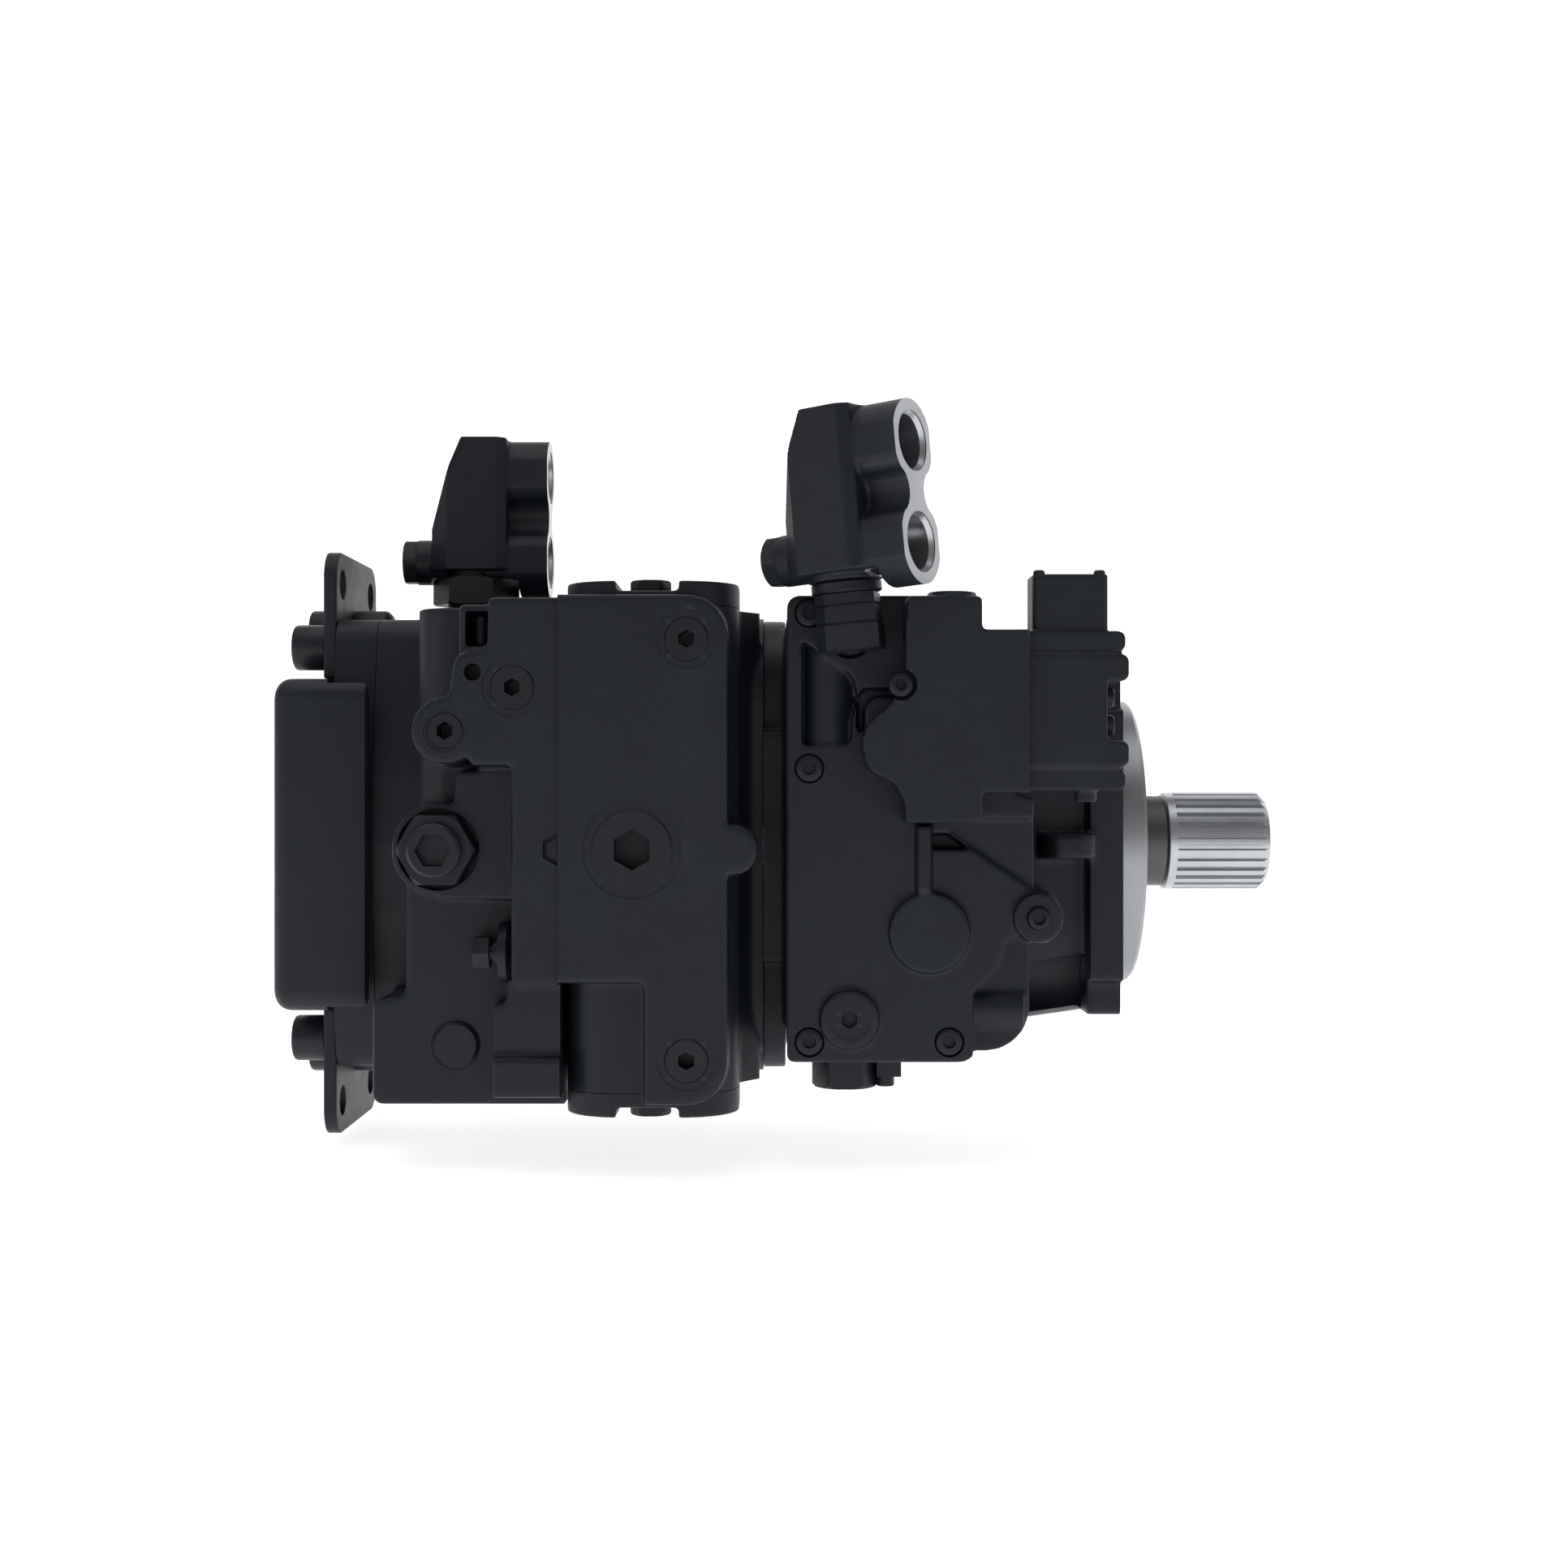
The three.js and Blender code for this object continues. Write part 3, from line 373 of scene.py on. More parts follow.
def turned_steel(name, colour, rough):
    """Bare steel with the fine rings that a lathe leaves on a face across the shaft's axis."""
    material = finish(name, colour, rough, 1.0, grain=SCRATCHES, variation=0.06)
    tree = material.node_tree
    shader = tree.nodes["Principled BSDF"]
    place = tree.nodes.new("ShaderNodeTexCoord").outputs["Object"]
    rings = node(tree, "TexWave", wave_type="RINGS", rings_direction="X", scale=700.0, distortion=0.6)
    tree.links.new(place, rings.inputs["Vector"])
    bump = node(tree, "Bump", strength=1.0, distance=TURNING_DEPTH * MM)
    tree.links.new(rings.outputs["Fac"], bump.inputs["Height"])
    old = shader.inputs["Normal"].links[0].from_socket
    tree.links.new(old, bump.inputs["Normal"])
    tree.links.new(bump.outputs["Normal"], shader.inputs["Normal"])
    return material


FINISHES = {
    # black_paint carries the painted highlight on its convex edges.
    "black_paint": finish("black_paint", PAINT, (0.4, 0.56), grain=CAST_SKIN, edge_highlight=PAINTED_EDGE_HIGHLIGHT),
    "black_steel": finish("black_steel", (0.007, 0.0095, 0.0145), (0.34, 0.5), grain=PEEL),
    "black_plastic": finish("black_plastic", (0.0068, 0.0098, 0.0152), (0.42, 0.56), grain=PEEL),
    "bright_steel": turned_steel("bright_steel", (0.5, 0.515, 0.54), (0.26, 0.42)),
    "pilot_steel": turned_steel("pilot_steel", (0.34, 0.352, 0.37), (0.3, 0.46)),
    # dull_steel is also laid on the shaft's neck as painted shade.
    "dull_steel": finish("dull_steel", (0.12, 0.118, 0.115), (0.4, 0.55), 1.0, grain=SCRATCHES),
    "bronze": finish("bronze", (0.5, 0.33, 0.15), (0.25, 0.4), 1.0, grain=SCRATCHES),
    "black_rubber": finish("black_rubber", (0.012, 0.012, 0.013), (0.6, 0.75), grain=PEEL),
}


# ---------- showing a piece ----------
def show(name, mesh, slot, body="housing", replaces=None, bare=None, bare_finish="bright_steel"):
    """Puts a mesh drawn in millimetres into the scene. bare(centres) picks its unpainted faces."""
    centres = np.array([face.center for face in mesh.polygons])
    mesh.transform(Matrix.Scale(MM, 4))
    mesh.materials.clear()
    mesh.materials.append(FINISHES[slot])
    indices = np.zeros(len(mesh.polygons), np.int32)
    if bare:
        mesh.materials.append(FINISHES[bare_finish])
        indices[bare(centres)] = 1
    mesh.polygons.foreach_set("material_index", indices)
    mesh.shade_smooth()
    mesh.set_sharp_from_angle(angle=SHARP)
    mesh.name = name
    piece = bpy.data.objects.new(name, mesh)
    bpy.context.scene.collection.objects.link(piece)
    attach(piece, body)
    if replaces:
        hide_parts(replaces)
    return piece


# ---------- front housing ----------
SEAL_BORE_R = 33
CRADLE_BORE_R = 49.7
TILT_AXIS = (-130, 0)
UPPER_DRAIN = (-100, 30)


def flange_outline():
    """A square flange whose four corners are stepped in."""
    side, tall, notch_y, notch_z = 76, 72.5, 68, 57.3
    quarter = [(side, notch_z, 1.5), (notch_y, notch_z + 1, 1.5), (notch_y, tall, 3)]
    corners = []
    for sy, sz in ((1, 1), (-1, 1), (-1, -1), (1, -1)):
        some = [(sy * y, sz * z, reach) for y, z, reach in quarter]
        corners += some if sy == sz else some[::-1]
    return outline(*corners)


def front_housing():
    rough = cast(
        prism("x", flange_outline(), -FLANGE_THICK, 4),
        prism("x", rounded_rect((-80, 80), (-80, 80), 44), -62, -12, (0.86, 0.92)),
        prism("x", rounded_rect((-84, 84), (-86, 86), 44), -143, -60),
        prism("x", rounded_rect((-84, 84), (-96, 96), 30), FRONT_SEAM - 5, -142.5),
        prism("y", rounded_rect((-142.5, -47), (-80, 84), 8), PAD_FACE - 4, -70),
        prism("y", rounded_rect((-142.5, -124), (70, 99), 8), PAD_FACE - 4, -70),
        prism("y", rounded_rect((FRONT_SEAM - 5, -140), (-48, 48), 3), -94, -80),
        prism("y", rounded_rect((-51, -31), (-38, -18), 9), PAD_FACE - 4, -60),
        prism("z", rounded_rect((-35, -13), (-93, -62), 8), -5.2, 5.2),
        rod("z", 19, 60, 97, UPPER_DRAIN),
    )
    machined = cut(
        rough,
        block((0, 20), ACROSS, TALL),
        block((FRONT_SEAM - 20, FRONT_SEAM + GAP), ACROSS, TALL),
        block((-200, 20), (-130, PAD_FACE), TALL),
    )
    machined = join(machined, disc("x", PILOT_R, 1.5, -4, PILOT_LENGTH, sides=144))
    bolts = [(y, z) for y in (-FLANGE_HOLE, FLANGE_HOLE) for z in (-FLANGE_HOLE, FLANGE_HOLE)]
    spots = [(y * SPOTFACE_OUT, z * SPOTFACE_OUT) for y, z in bolts]
    return cut(
        machined,
        rod("x", 70, FRONT_SEAM - 1, -96),
        rod("y", CRADLE_BORE_R, -52, 52, TILT_AXIS, 96),
        block((FRONT_SEAM - 1, -96), (-88, -50), (-36, 36)),
        rod("x", 36.3, -97, -37),
        rod("x", 24, -40, 20),
        rod("x", SEAL_BORE_R, -8, 20),
        rod("z", 10, 82, 100, UPPER_DRAIN),
        together(*(rod("x", 8.75, -30, 1, at) for at in bolts)),
        together(*(rod("x", 16, -52, -FLANGE_THICK, at) for at in spots)),
        together(*(rod("y", 3.6, -101, -82, at) for at in COVER_SCREWS)),
    )


def add_front_housing():
    mesh = front_housing()

    def bare(centres):
        radius = np.hypot(centres[:, 1], centres[:, 2])
        return (centres[:, 0] > -0.05) & (radius < PILOT_R + 0.1) & (radius > SEAL_BORE_R - 1)

    show("front_housing_casting", mesh, "black_paint", "housing", "front_housing", bare, "pilot_steel")


# ---------- main housing and servo cylinder ----------
SERVO_LEFT, SERVO_RIGHT, SERVO_NEAR = -231.2, -161.5, -130
SERVO_ROUND = 22
SERVO_PLAN = (
    (SERVO_LEFT, -84), (SERVO_LEFT, SERVO_NEAR, SERVO_ROUND), (SERVO_RIGHT, SERVO_NEAR, SERVO_ROUND),
    (SERVO_RIGHT, -98), (-153, -86), (-153, -84),
)
SECOND_DRAIN = (-192, 20)
SMALL_PLUGS = ((-181.6, 83), (-181.6, -83))
MAIN_PLUG = (-203, 0)


def spotface(radius, face, depth, at):
    """A tool that sinks a ring for a plug's head into a face towards the control side."""
    return rod("y", radius, face - 5, face + depth, at, 72)


def main_housing():
    x0 = REAR_SEAM + GAP
    plate = outline(
        (x0 - 5, 100.6), (-165.5, 100.6, 16), (-165.5, 9.9), (-153.8, 9.9, 9), (-153.8, -9.9, 9),
        (-165.5, -9.9), (-165.5, -100.6, 16), (-198.4, -100.6), (-198.4, -52.6), (x0 - 5, -52.6),
    )
    rough = cast(
        prism("x", rounded_rect((-92, 92), (-97, 97), 36), x0 - 5, FRONT_SEAM + 5),
        prism("z", outline(*SERVO_PLAN), -101, 101),
        prism("y", plate, PLATE_FACE, -112),
        prism("y", rounded_rect((-222, -166), (-40, 40), 12), 80, 104),
        rod("z", 18, 60, 104, SECOND_DRAIN),
    )
    end = (-130 - GAP, -80)
    return cut(
        rough,
        block((x0 - 20, x0), ACROSS_ALL, TALL),
        block((FRONT_SEAM, FRONT_SEAM + 20), ACROSS_ALL, TALL),
        block((-250, -150), end, (97, 120)),
        block((-250, -150), end, (-120, -97)),
        rod("x", 68, x0 - 1, FRONT_SEAM + 1),
        block((-216, FRONT_SEAM + 1), (-88, -50), (-36, 36)),
        rod("z", 17.4, -98, 98, SERVO),
        block((-214, -181), (-100, -86), (-30, 30)),
        rod("y", 12.8, -145, -126.4, MAIN_PLUG),
        rod("z", 10, 90, 105, SECOND_DRAIN),
        spotface(19.5, PLATE_FACE, 0.5, MAIN_PLUG),
        together(*(spotface(11.8, PLATE_FACE, 0.4, at) for at in SMALL_PLUGS)),
        together(*(rod("y", 8.7, -145, PLATE_FACE + 12.3, at) for at in SMALL_PLUGS)),
    )


def servo_cap():
    plan = outline((SERVO_LEFT, -90.3), (SERVO_LEFT, SERVO_NEAR, SERVO_ROUND),
                   (SERVO_RIGHT, SERVO_NEAR, SERVO_ROUND), (SERVO_RIGHT, -90.3))
    bar = prism("z", plan, 90, SERVO_TOP)
    slot = block((-210, -185), (-140, -80), (SERVO_TOP - 4, 110))
    rough = cast(cut(bar, slot), voxel=0.8, rounding=5)
    return cut(rough, block((-240, -150), (-140, -80), (80, 97 + GAP)), rod("z", 5.4, 90, 110, SERVO))


def limiter_screw():
    body = turned("z", [(0, 90), (5, 90), (5, 103.4), (0, 103.4)], SERVO)
    nut = common(hexagon("z", 14.6, 103.1, SERVO_TOP + 1.6, SERVO),
                 disc("z", 8.3, 0.7, 100, SERVO_TOP + 1.6, SERVO))
    return cut(join(body, nut), hexagon("z", 4, SERVO_TOP - 1, 120, SERVO))


def socket_plug(radius, face, height, key, at, depth):
    """A plug with a hexagon socket, corners up, whose head stands height proud of a face."""
    front = face - height
    shank_r = radius * 0.8
    body = turned("y", [(0, face + depth), (shank_r, face + depth), (shank_r, face + 1.5),
                        (radius, face + 1.5), (radius, front + 0.4), (radius - 0.4, front),
                        (0, front)], at)
    return cut(body, hexagon("y", key, front - 1, front + depth - 1.5, at, math.pi / 2))


def add_main_housing():
    show("main_housing_casting", main_housing(), "black_paint", replaces="main_housing")
    for side, flip in (("upper", False), ("lower", True)):
        cap, screw = servo_cap(), limiter_screw()
        if flip:
            cap, screw = mirrored(cap, 2), mirrored(screw, 2)
        show(f"servo_cap_{side}_casting", cap, "black_paint", replaces=f"servo_cap_{side}")
        show(f"limiter_{side}_hex_screw", screw, "black_steel", replaces=f"limiter_screw_{side}")
    plug = socket_plug(15.8, PLATE_FACE, 0.4, 14, MAIN_PLUG, depth=12.5)
    show("servo_bore_plug", plug, "black_steel", replaces="main_plug")
    for i, at in enumerate(SMALL_PLUGS):
        plug = socket_plug(8.5, PLATE_FACE, 0.1, SMALL_KEY, at, depth=12)
        show(f"plate_plug_{i + 1}", plug, "black_steel")


# ---------- end cap ----------
LOBE = (-276.9, 46.9)
RELIEF = (-281.4, -0.3)
PLATE_PLUG = (-250.4, 64)
FOOT_PLUG = (-276.4, -80)
TEST_FITTING = (-118, -41.8)
RECESS_STUD = (-265.3, -117)
REAR_FITTING = (-286, 15, 105)
MAIN_PORT_X = -262
MAIN_PORT_Z = 45
MAIN_PORT_R = 12.7
MAIN_PORT_FACE = 95
PORT_BOLT = (13.9, 28.6)


def barrel_outline():
    """A tall section with bulged sides, seen along the shaft."""
    return outline((-46, -98, 7), (46, -98, 7), (50, -90, 3), (68, 0, 60), (50, 90, 3), (46, 98, 7),
                   (-46, 98, 7), (-50, 90, 3), (-68, 0, 60), (-50, -90, 3))


def end_cap():
    """The block of castings at the rear: front plate, recess, lower plate, foot and corner."""
    x1 = REAR_SEAM
    face = CAP_PLATE_FACE
    plate = outline(
        (x1 + 5, 99.6), (-259.8, 99.6, 2), (-260.5, 79, 5), (-273, 78, 6), (-275.4, 60, 4), (-284, 58),
        (-266, 33.2), (-250.8, 33.2), (-250.8, -53.6, 2), (x1 + 5, -53.6),
    )
    recessed = outline(
        (-250, 31.2), (-274.5, 31.2, 3), (-275, 17, 3), (-281, 17), (-281, -20), (-250, -20.4),
    )
    lower = outline(
        (x1 + 5, -52), (-254, -52), (-254, -62, 3), (-259.6, -62, 2), (-259.6, -99.4, 3),
        (x1 + 5, -99.4),
    )
    foot = outline(
        (-250, 0), (-297, 0, 4), (-297, -60, 4), (-310.6, -62, 3), (-310.6, -104.3, 4),
        (x1 + 5, -104.3), (x1 + 5, 0),
    )
    rim = rounded_rect((-272.4, -258), (60, 97.3), 2)
    rx, ry, rz = REAR_FITTING
    rough = cast(
        prism("x", barrel_outline(), CHARGE_SEAM - 4, -290),
        prism("x", rounded_rect((-94, 88), (-94, 97), 26), -283, x1 + 5),
        prism("y", rounded_rect((-283, x1 + 5), (-60, 40), 6), -106, -80),
        prism("z", outline((x1 + 5, -106), (-294.5, -106, 16), (-294.5, -60), (x1 + 5, -60)), 16, 98),
        prism("y", foot, -110, 40),
        prism("y", rounded_rect((-300, x1 + 5), (-88, 88), 10), 60, 97),
        prism("y", rim, -130, -100),
        rod("z", 25, -50, 98.4, (rx, ry)),
        prism("y", plate, face, -100),
        rod("y", 13.2, face, -100, LOBE),
        prism("y", recessed, -125, -100),
        rod("y", 18.8, -125, -100, RELIEF),
        prism("y", lower, -125, -100),
        block((-259.6, x1 + 5), (-128, -120), (-99.4, -83)),
        voxel=1.05,
    )
    heights = (-MAIN_PORT_Z, MAIN_PORT_Z)
    dx, dz = PORT_BOLT
    ports = [rod("y", MAIN_PORT_R, 48, 100, (MAIN_PORT_X, z)) for z in heights]
    bolts = [rod("y", 5.2, 74, 100, (MAIN_PORT_X + x, z + up), 24)
             for z in heights for x in (-dx, dx) for up in (-dz, dz)]
    return cut(
        rough,
        block((x1, x1 + 20), ACROSS_ALL, TALL),
        block((CHARGE_SEAM - 20, CHARGE_SEAM + GAP), ACROSS, TALL),
        block((-330, -200), (MAIN_PORT_FACE, 110), TALL),
        prism("y", rounded_rect((-269.8, -260), (80.5, 94.7), 1.5), -140, -112),
        rod("x", 16, CHARGE_SEAM - 1, x1 + 1),
        rod("x", 26.3, -262, x1 + 1),
        rod("z", 9, rz - 12, rz + 1, (rx, ry)),
        rod("y", 16.5, -130, -118, RELIEF),
        rod("y", 9, -120, -90, RELIEF),
        rod("y", 3.4, -145, -126, (-266, 70)),
        together(*ports),
        together(*bolts),
        spotface(12, face, 0.4, PLATE_PLUG),
        spotface(8.5, face, 0.4, LOBE),
        rod("y", 8.8, face - 5, face + 14.3, PLATE_PLUG),
        rod("y", 7.2, face - 5, face + 14.3, LOBE),
        hexagon("y", 11.2, face - 5, face + 3, (x1, 0), math.pi / 2),
        spotface(10.1, -110, 0.5, FOOT_PLUG),
    )


def relief_cartridge():
    hexed = common(hexagon("y", 27.5, -133.5, -118.3, RELIEF),
                   disc("y", 15.6, 1.4, -110, -133.5, RELIEF))
    body = join(hexed, rod("y", 8.6, -130, -92, RELIEF), disc("y", 10.7, 1.2, -133, -139, RELIEF))
    return cut(body, hexagon("y", 12.4, -150, -134.5, RELIEF))


def side_fitting():
    """The small test fitting that stands out of the foot beside the front plate."""
    body = turned("x", [
        (0, -268), (3.4, -268), (3.4, -260), (5.6, -259.6), (5.6, -257.4), (12.2, -257.2),
        (12.6, -253.8), (10, -251.6), (6.4, -251.2), (6.4, -249), (0, -249),
    ], TEST_FITTING, 48)
    return join(body, hexagon("x", 12, -268, -261.4, TEST_FITTING))


def add_end_cap():
    show("end_cap_casting", end_cap(), "black_paint", replaces="end_cap",
         bare=lambda centres: centres[:, 1] > MAIN_PORT_FACE - 0.1)
    show("relief_valve", relief_cartridge(), "black_steel", replaces="relief_cartridge")
    face = CAP_PLATE_FACE
    for name, at, radius in (("plate_plug_3", PLATE_PLUG, 8.6), ("plate_plug_4", LOBE, 7)):
        show(name, socket_plug(radius, face, 0.1, SMALL_KEY, at, depth=14), "black_steel")
    show("foot_plug", disc("y", 9.5, 1.2, -106, -112, FOOT_PLUG), "black_steel")
    seam_hex = cut(hexagon("y", 8, face + 1, face + 3.2, (REAR_SEAM, 0), math.pi / 2),
                   block((REAR_SEAM - 0.2, REAR_SEAM + 20), (-150, 0), (-20, 20)))
    show("seam_locking_hex", seam_hex, "black_steel")
    show("test_fitting", side_fitting(), "black_steel")
    show("recess_stud", disc("z", 3.7, 0.6, 82, 93.6, RECESS_STUD), "black_steel")


# ---------- charge pump housing, rear cover and lifting brackets ----------
BRACKET_SCREWS = ((-34, 86), (34, 86), (-34, -86), (34, -86), (0, 95), (0, -95))
BRACKET_THICK = 6
EYE_R = 6.5
EYE_Y, EYE_Z = 32, 114


def charge_pump_housing():
    boss = [(0, REAR_FACE - 4), (10, REAR_FACE - 4), (10, CHARGE_SEAM - 4), (7, CHARGE_SEAM - 1),
            (0, CHARGE_SEAM - 1)]
    bosses = [turned("x", boss, (0, z)) for z in (-95, 95)]
    rough = cast(prism("x", barrel_outline(), REAR_FACE - 4, CHARGE_SEAM + 4), *bosses)
    return cut(
        rough,
        block((REAR_FACE - 20, REAR_FACE + GAP), ACROSS, TALL),
        block((CHARGE_SEAM, CHARGE_SEAM + 20), ACROSS, TALL),
        rod("x", 32.6, -334, CHARGE_SEAM + 1, (0, -2.2)),
        together(*(rod("x", 6.4, REAR_FACE - 1, -324, at) for at in BRACKET_SCREWS)),
    )


def rear_cover():
    """A square cup with a large rounded edge at its closed end."""
    fillet, steps = 7, 8
    sections = []
    for k in range(steps + 1):
        lean = math.radians(90 * k / steps)
        half = 71 - fillet * (1 - math.sin(lean))
        reach = 9 - fillet * (1 - math.sin(lean)) * 0.8
        sections.append((rounded_rect((-half, half), (-half, half), reach),
                         COVER_REAR + fillet * (1 - math.cos(lean))))
    sections.append((sections[-1][0], -323))
    sections.append((rounded_rect((-70.6, 70.6), (-70.6, 70.6), 9), -321.2))
    sections.append((rounded_rect((-69, 69), (-69, 69), 8), -320))
    shell = loft("x", sections)
    return cut(
        shell,
        block((REAR_FACE, -300), (-67.6, 67.6), (-80, 80)),
        rod("x", 34, -352, -330),
    )


def lifting_bracket():
    plate = outline((-46, 72), (46, 72), (46, 128, 12), (-46, 128, 12))
    holes = [rod("x", EYE_R, -346, -336, (y, EYE_Z)) for y in (-EYE_Y, EYE_Y)]
    holes += [rod("x", 6.4, -346, -336, at) for at in BRACKET_SCREWS if at[1] > 0]
    slab = prism("x", plate, REAR_FACE - BRACKET_THICK, REAR_FACE - GAP)
    return cast(cut(slab, *holes), voxel=0.6, rounding=3, keep=0.3)


def cap_screw(head_r, height, shank_r, length, key):
    """A cap screw along -Z with the underside of its head at the origin."""
    body = turned("z", [
        (0, -length), (shank_r, -length), (shank_r, 0), (head_r - 0.3, 0), (head_r, 0.3),
        (head_r, height - head_r * 0.16), (head_r * 0.95, height - head_r * 0.05),
        (head_r * 0.84, height), (0, height),
    ])
    funnel = turned("z", [(0, height - 1), (key * 0.5, height - 0.4), (key * 0.66, height + 0.4),
                          (0, height + 0.4)])
    return cut(body, hexagon("z", key, height * 0.45, height + 1), funnel)


def aimed(mesh, position, facing):
    """Turns a mesh drawn along +Z to face another way, and puts it in place."""
    turn = Vector((0, 0, 1)).rotation_difference(Vector(facing)).to_matrix().to_4x4()
    mesh.transform(Matrix.Translation(position) @ turn)
    return mesh


def add_rear():
    show("charge_pump_casting", charge_pump_housing(), "black_paint", replaces="charge_pump_housing")
    show("rear_cover_shell", rear_cover(), "black_paint", replaces="rear_cover")
    show("lifting_plate_upper", lifting_bracket(), "black_paint", replaces="lifting_bracket_upper")
    show("lifting_plate_lower", mirrored(lifting_bracket(), 2), "black_paint",
         replaces="lifting_bracket_lower")
    under = REAR_FACE - BRACKET_THICK - GAP
    for i, (y, z) in enumerate(BRACKET_SCREWS):
        screw = cap_screw(head_r=10, height=14.6, shank_r=6, length=16, key=10)
        aimed(screw, (under, y, z), (-1, 0, 0))
        show(f"bracket_cap_screw_{i + 1}", screw, "black_steel", replaces=f"bracket_screw_{i + 1}")


# ---------- control ----------
COVER_SCREWS = ((-133, 94.8), (-133, 32.2), (-133, -78.1), (-76.6, -78.1), (-41, -28))
CONTROL_PLUG = (-116.9, -68.9)
HOUSING_SCREW = (-97.2, 64.9)
BUTTONS = ((-120.5, 60.5), (-120.5, 49.5))
BUTTON_FOOT = -17.4
SPOOL_BORE = (-80, -129)
FRONT_FITTING = (-116.7, -132, 84)
STUB_RISE = 1.9


def control_cover():
    face = outline(
        (-142, -86.3, 3), (-142, 101.8, 5), (-66, 101.8), (-66, 86), (-50, 86), (-50, 22.6),
        (-42.5, 20, 2), (-42.5, -16), (-31.1, -18, 9), (-31.1, -38, 9), (-43.5, -38.5),
        (-43.5, -82.5, 18), (-66, -82.5), (-68, -86.3, 5),
    )
    pocket = outline(
        (-136, 41.6, 2), (-116, 41.6, 4), (-115.6, 52, 2), (-113.4, 61, 4), (-115.5, 70, 5),
        (-127, 77, 4), (-136, 84, 2),
    )
    channel = outline((-114, 64.5, 5), (-96, 64.5), (-96, 46), (-114, 46, 4))
    lobe = outline((-110.8, 60.5, 6), (-94, 60.5), (-94, 44), (-110.8, 44, 4))
    wing = outline(
        (-67, -90), (-67, -57.8, 2), (-57, -50, 7), (-54, -37, 3), (-46, -35.5), (-40, -37), (-40, -90),
    )
    slope = outline((-77, 6), (-42.3, -17.2), (-30, -14), (-30, 12), (-77, 12))
    window = outline((-83.7, 6), (-77, 6), (-67.2, -0.6), (-83.7, -0.6))
    slab = cut(
        prism("y", face, COVER_FACE, PAD_FACE + 3),
        prism("y", pocket, -130, -105),
        prism("y", channel, -130, -112),
        prism("y", wing, -130, -110),
        prism("y", slope, -130, -116.4),
        prism("y", window, -130, -107),
        block((-68.8, -68), (-130, COVER_FACE + 0.8), (-90, -34)),
    )
    rough = cast(
        slab,
        rod("z", 11.2, 41, 84, (-124.6, -106.4)),
        prism("y", lobe, -126, -110),
        rod("x", 9.5, -67, -46, (-104.5, -66)),
        rod("y", 16.1, -122, -117, (-84.8, -34)),
        rod("y", 11.8, -120.4, -117, CONTROL_PLUG),
        rod("z", 3.3, -17, 9, (-87, -119.6)),
        rod("y", 9.9, -121, -101, COVER_SCREWS[4]),
        voxel=0.8, rounding=4, keep=0.35,
    )
    return cut(
        rough,
        block((-160, -20), (PAD_FACE - GAP, -80), TALL),
        rod("y", 9.7, -130, -108, (FRONT_FITTING[0], FRONT_FITTING[2] + STUB_RISE)),
        together(*(rod("y", 6.1, -130, -113, at) for at in COVER_SCREWS[:4])),
        rod("y", 4.8, -130, -119, COVER_SCREWS[4]),
        together(*(rod("y", 3.4, -116, -99, at) for at in COVER_SCREWS[:4])),
        rod("y", 3.4, -122, -99, COVER_SCREWS[4]),
        spotface(8.2, -120.4, 0.4, CONTROL_PLUG),
        hexagon("y", SMALL_KEY, -130, -116.5, CONTROL_PLUG, math.pi / 2),
    )


def control_housing():
    """The raised casting on the cover, with the spool's bore through it."""
    face = outline(
        (-95.1, 99.9, 2), (-65.3, 99.9, 2), (-65.3, 86.7, 1), (-40, 86.7), (-40, 22.5),
        (-65.3, 22.5), (-65.3, 10.6, 2), (-95.7, 10.6, 2), (-95.7, 19, 3), (-100, 26.5, 3),
        (-111, 31, 6), (-113, 47, 6), (-104, 55, 4), (-95.5, 64, 3),
    )
    rough = cast(
        prism("y", face, -140, COVER_FACE + 3),
        rod("z", 9.7, 90, 102, (-76.6, -129.5)),
        voxel=0.8, rounding=4, keep=0.35,
    )
    return cut(
        rough,
        block((-130, -30), (COVER_FACE - GAP, -100), (-10, 120)),
        block((-46.8, -30), (-150, -100), (-10, 120)),
        rod("z", 6.6, 27, 83, SPOOL_BORE),
        rod("z", 2.5, 82, 103, SPOOL_BORE),
        rod("z", 2.5, 9, 28, SPOOL_BORE),
        rod("y", 6.3, -145, -132, HOUSING_SCREW),
    )


def solenoid_block():
    """The moulding beside the control housing, with bands, a connector tower and button wells."""
    y0, y1, seam = -135, -106, -46.2
    x0 = seam - 6

    def band(xs, zs, reach, inset=0):
        return prism("y", rounded_rect(xs, zs, reach), y0 + inset, y1 - inset)

    tower = prism("z", rounded_rect((-44.6, -14.6), (-132, -109), 3), 84, 109.2)
    rough = cast(
        band((x0, -8.2), (78.3, 86.4), 3, 1),
        band((-45, -9.5), (70, 82), 1, 2),
        band((x0, -6.9), (66.6, 77.2), 3),
        band((x0, -15.4), (34, 76), 2),
        band((x0, -6.9), (32.8, 43), 3),
        band((-45, -9.5), (26, 35), 1, 2),
        band((x0, -8.2), (23.4, 31.6), 3, 1),
        tower,
        rod("z", 4.4, 18.8, 25, (-23.4, -129)),
        voxel=0.6, rounding=3, keep=0.35,
    )
    bumps = [disc("z", 2.3, 0.6, 108, 110.7, (x, -130), 32) for x in (-42, -18)]
    mouth = prism("z", rounded_rect((-41.6, -18.2), (-127, -112), 2), 92, 112)
    buttons = [rod("x", 4.8, -20, -10, at, 48) for at in BUTTONS]
    return cut(join(rough, *bumps), block((seam - 20, seam), (-150, -90), (-10, 120)), mouth,
               block((-36, -24), (-112.5, -104), (98, 112)), *buttons)


def connector_pins():
    blades = [prism("z", rounded_rect((x - 1.4, x + 1.4), (-119.9, -119.1), 0.3), 91, 104)
              for x in (-35.5, -24.5)]
    key = block((-31, -29), (-126.9, -125.6), (92.2, 107))
    return together(*blades, key)


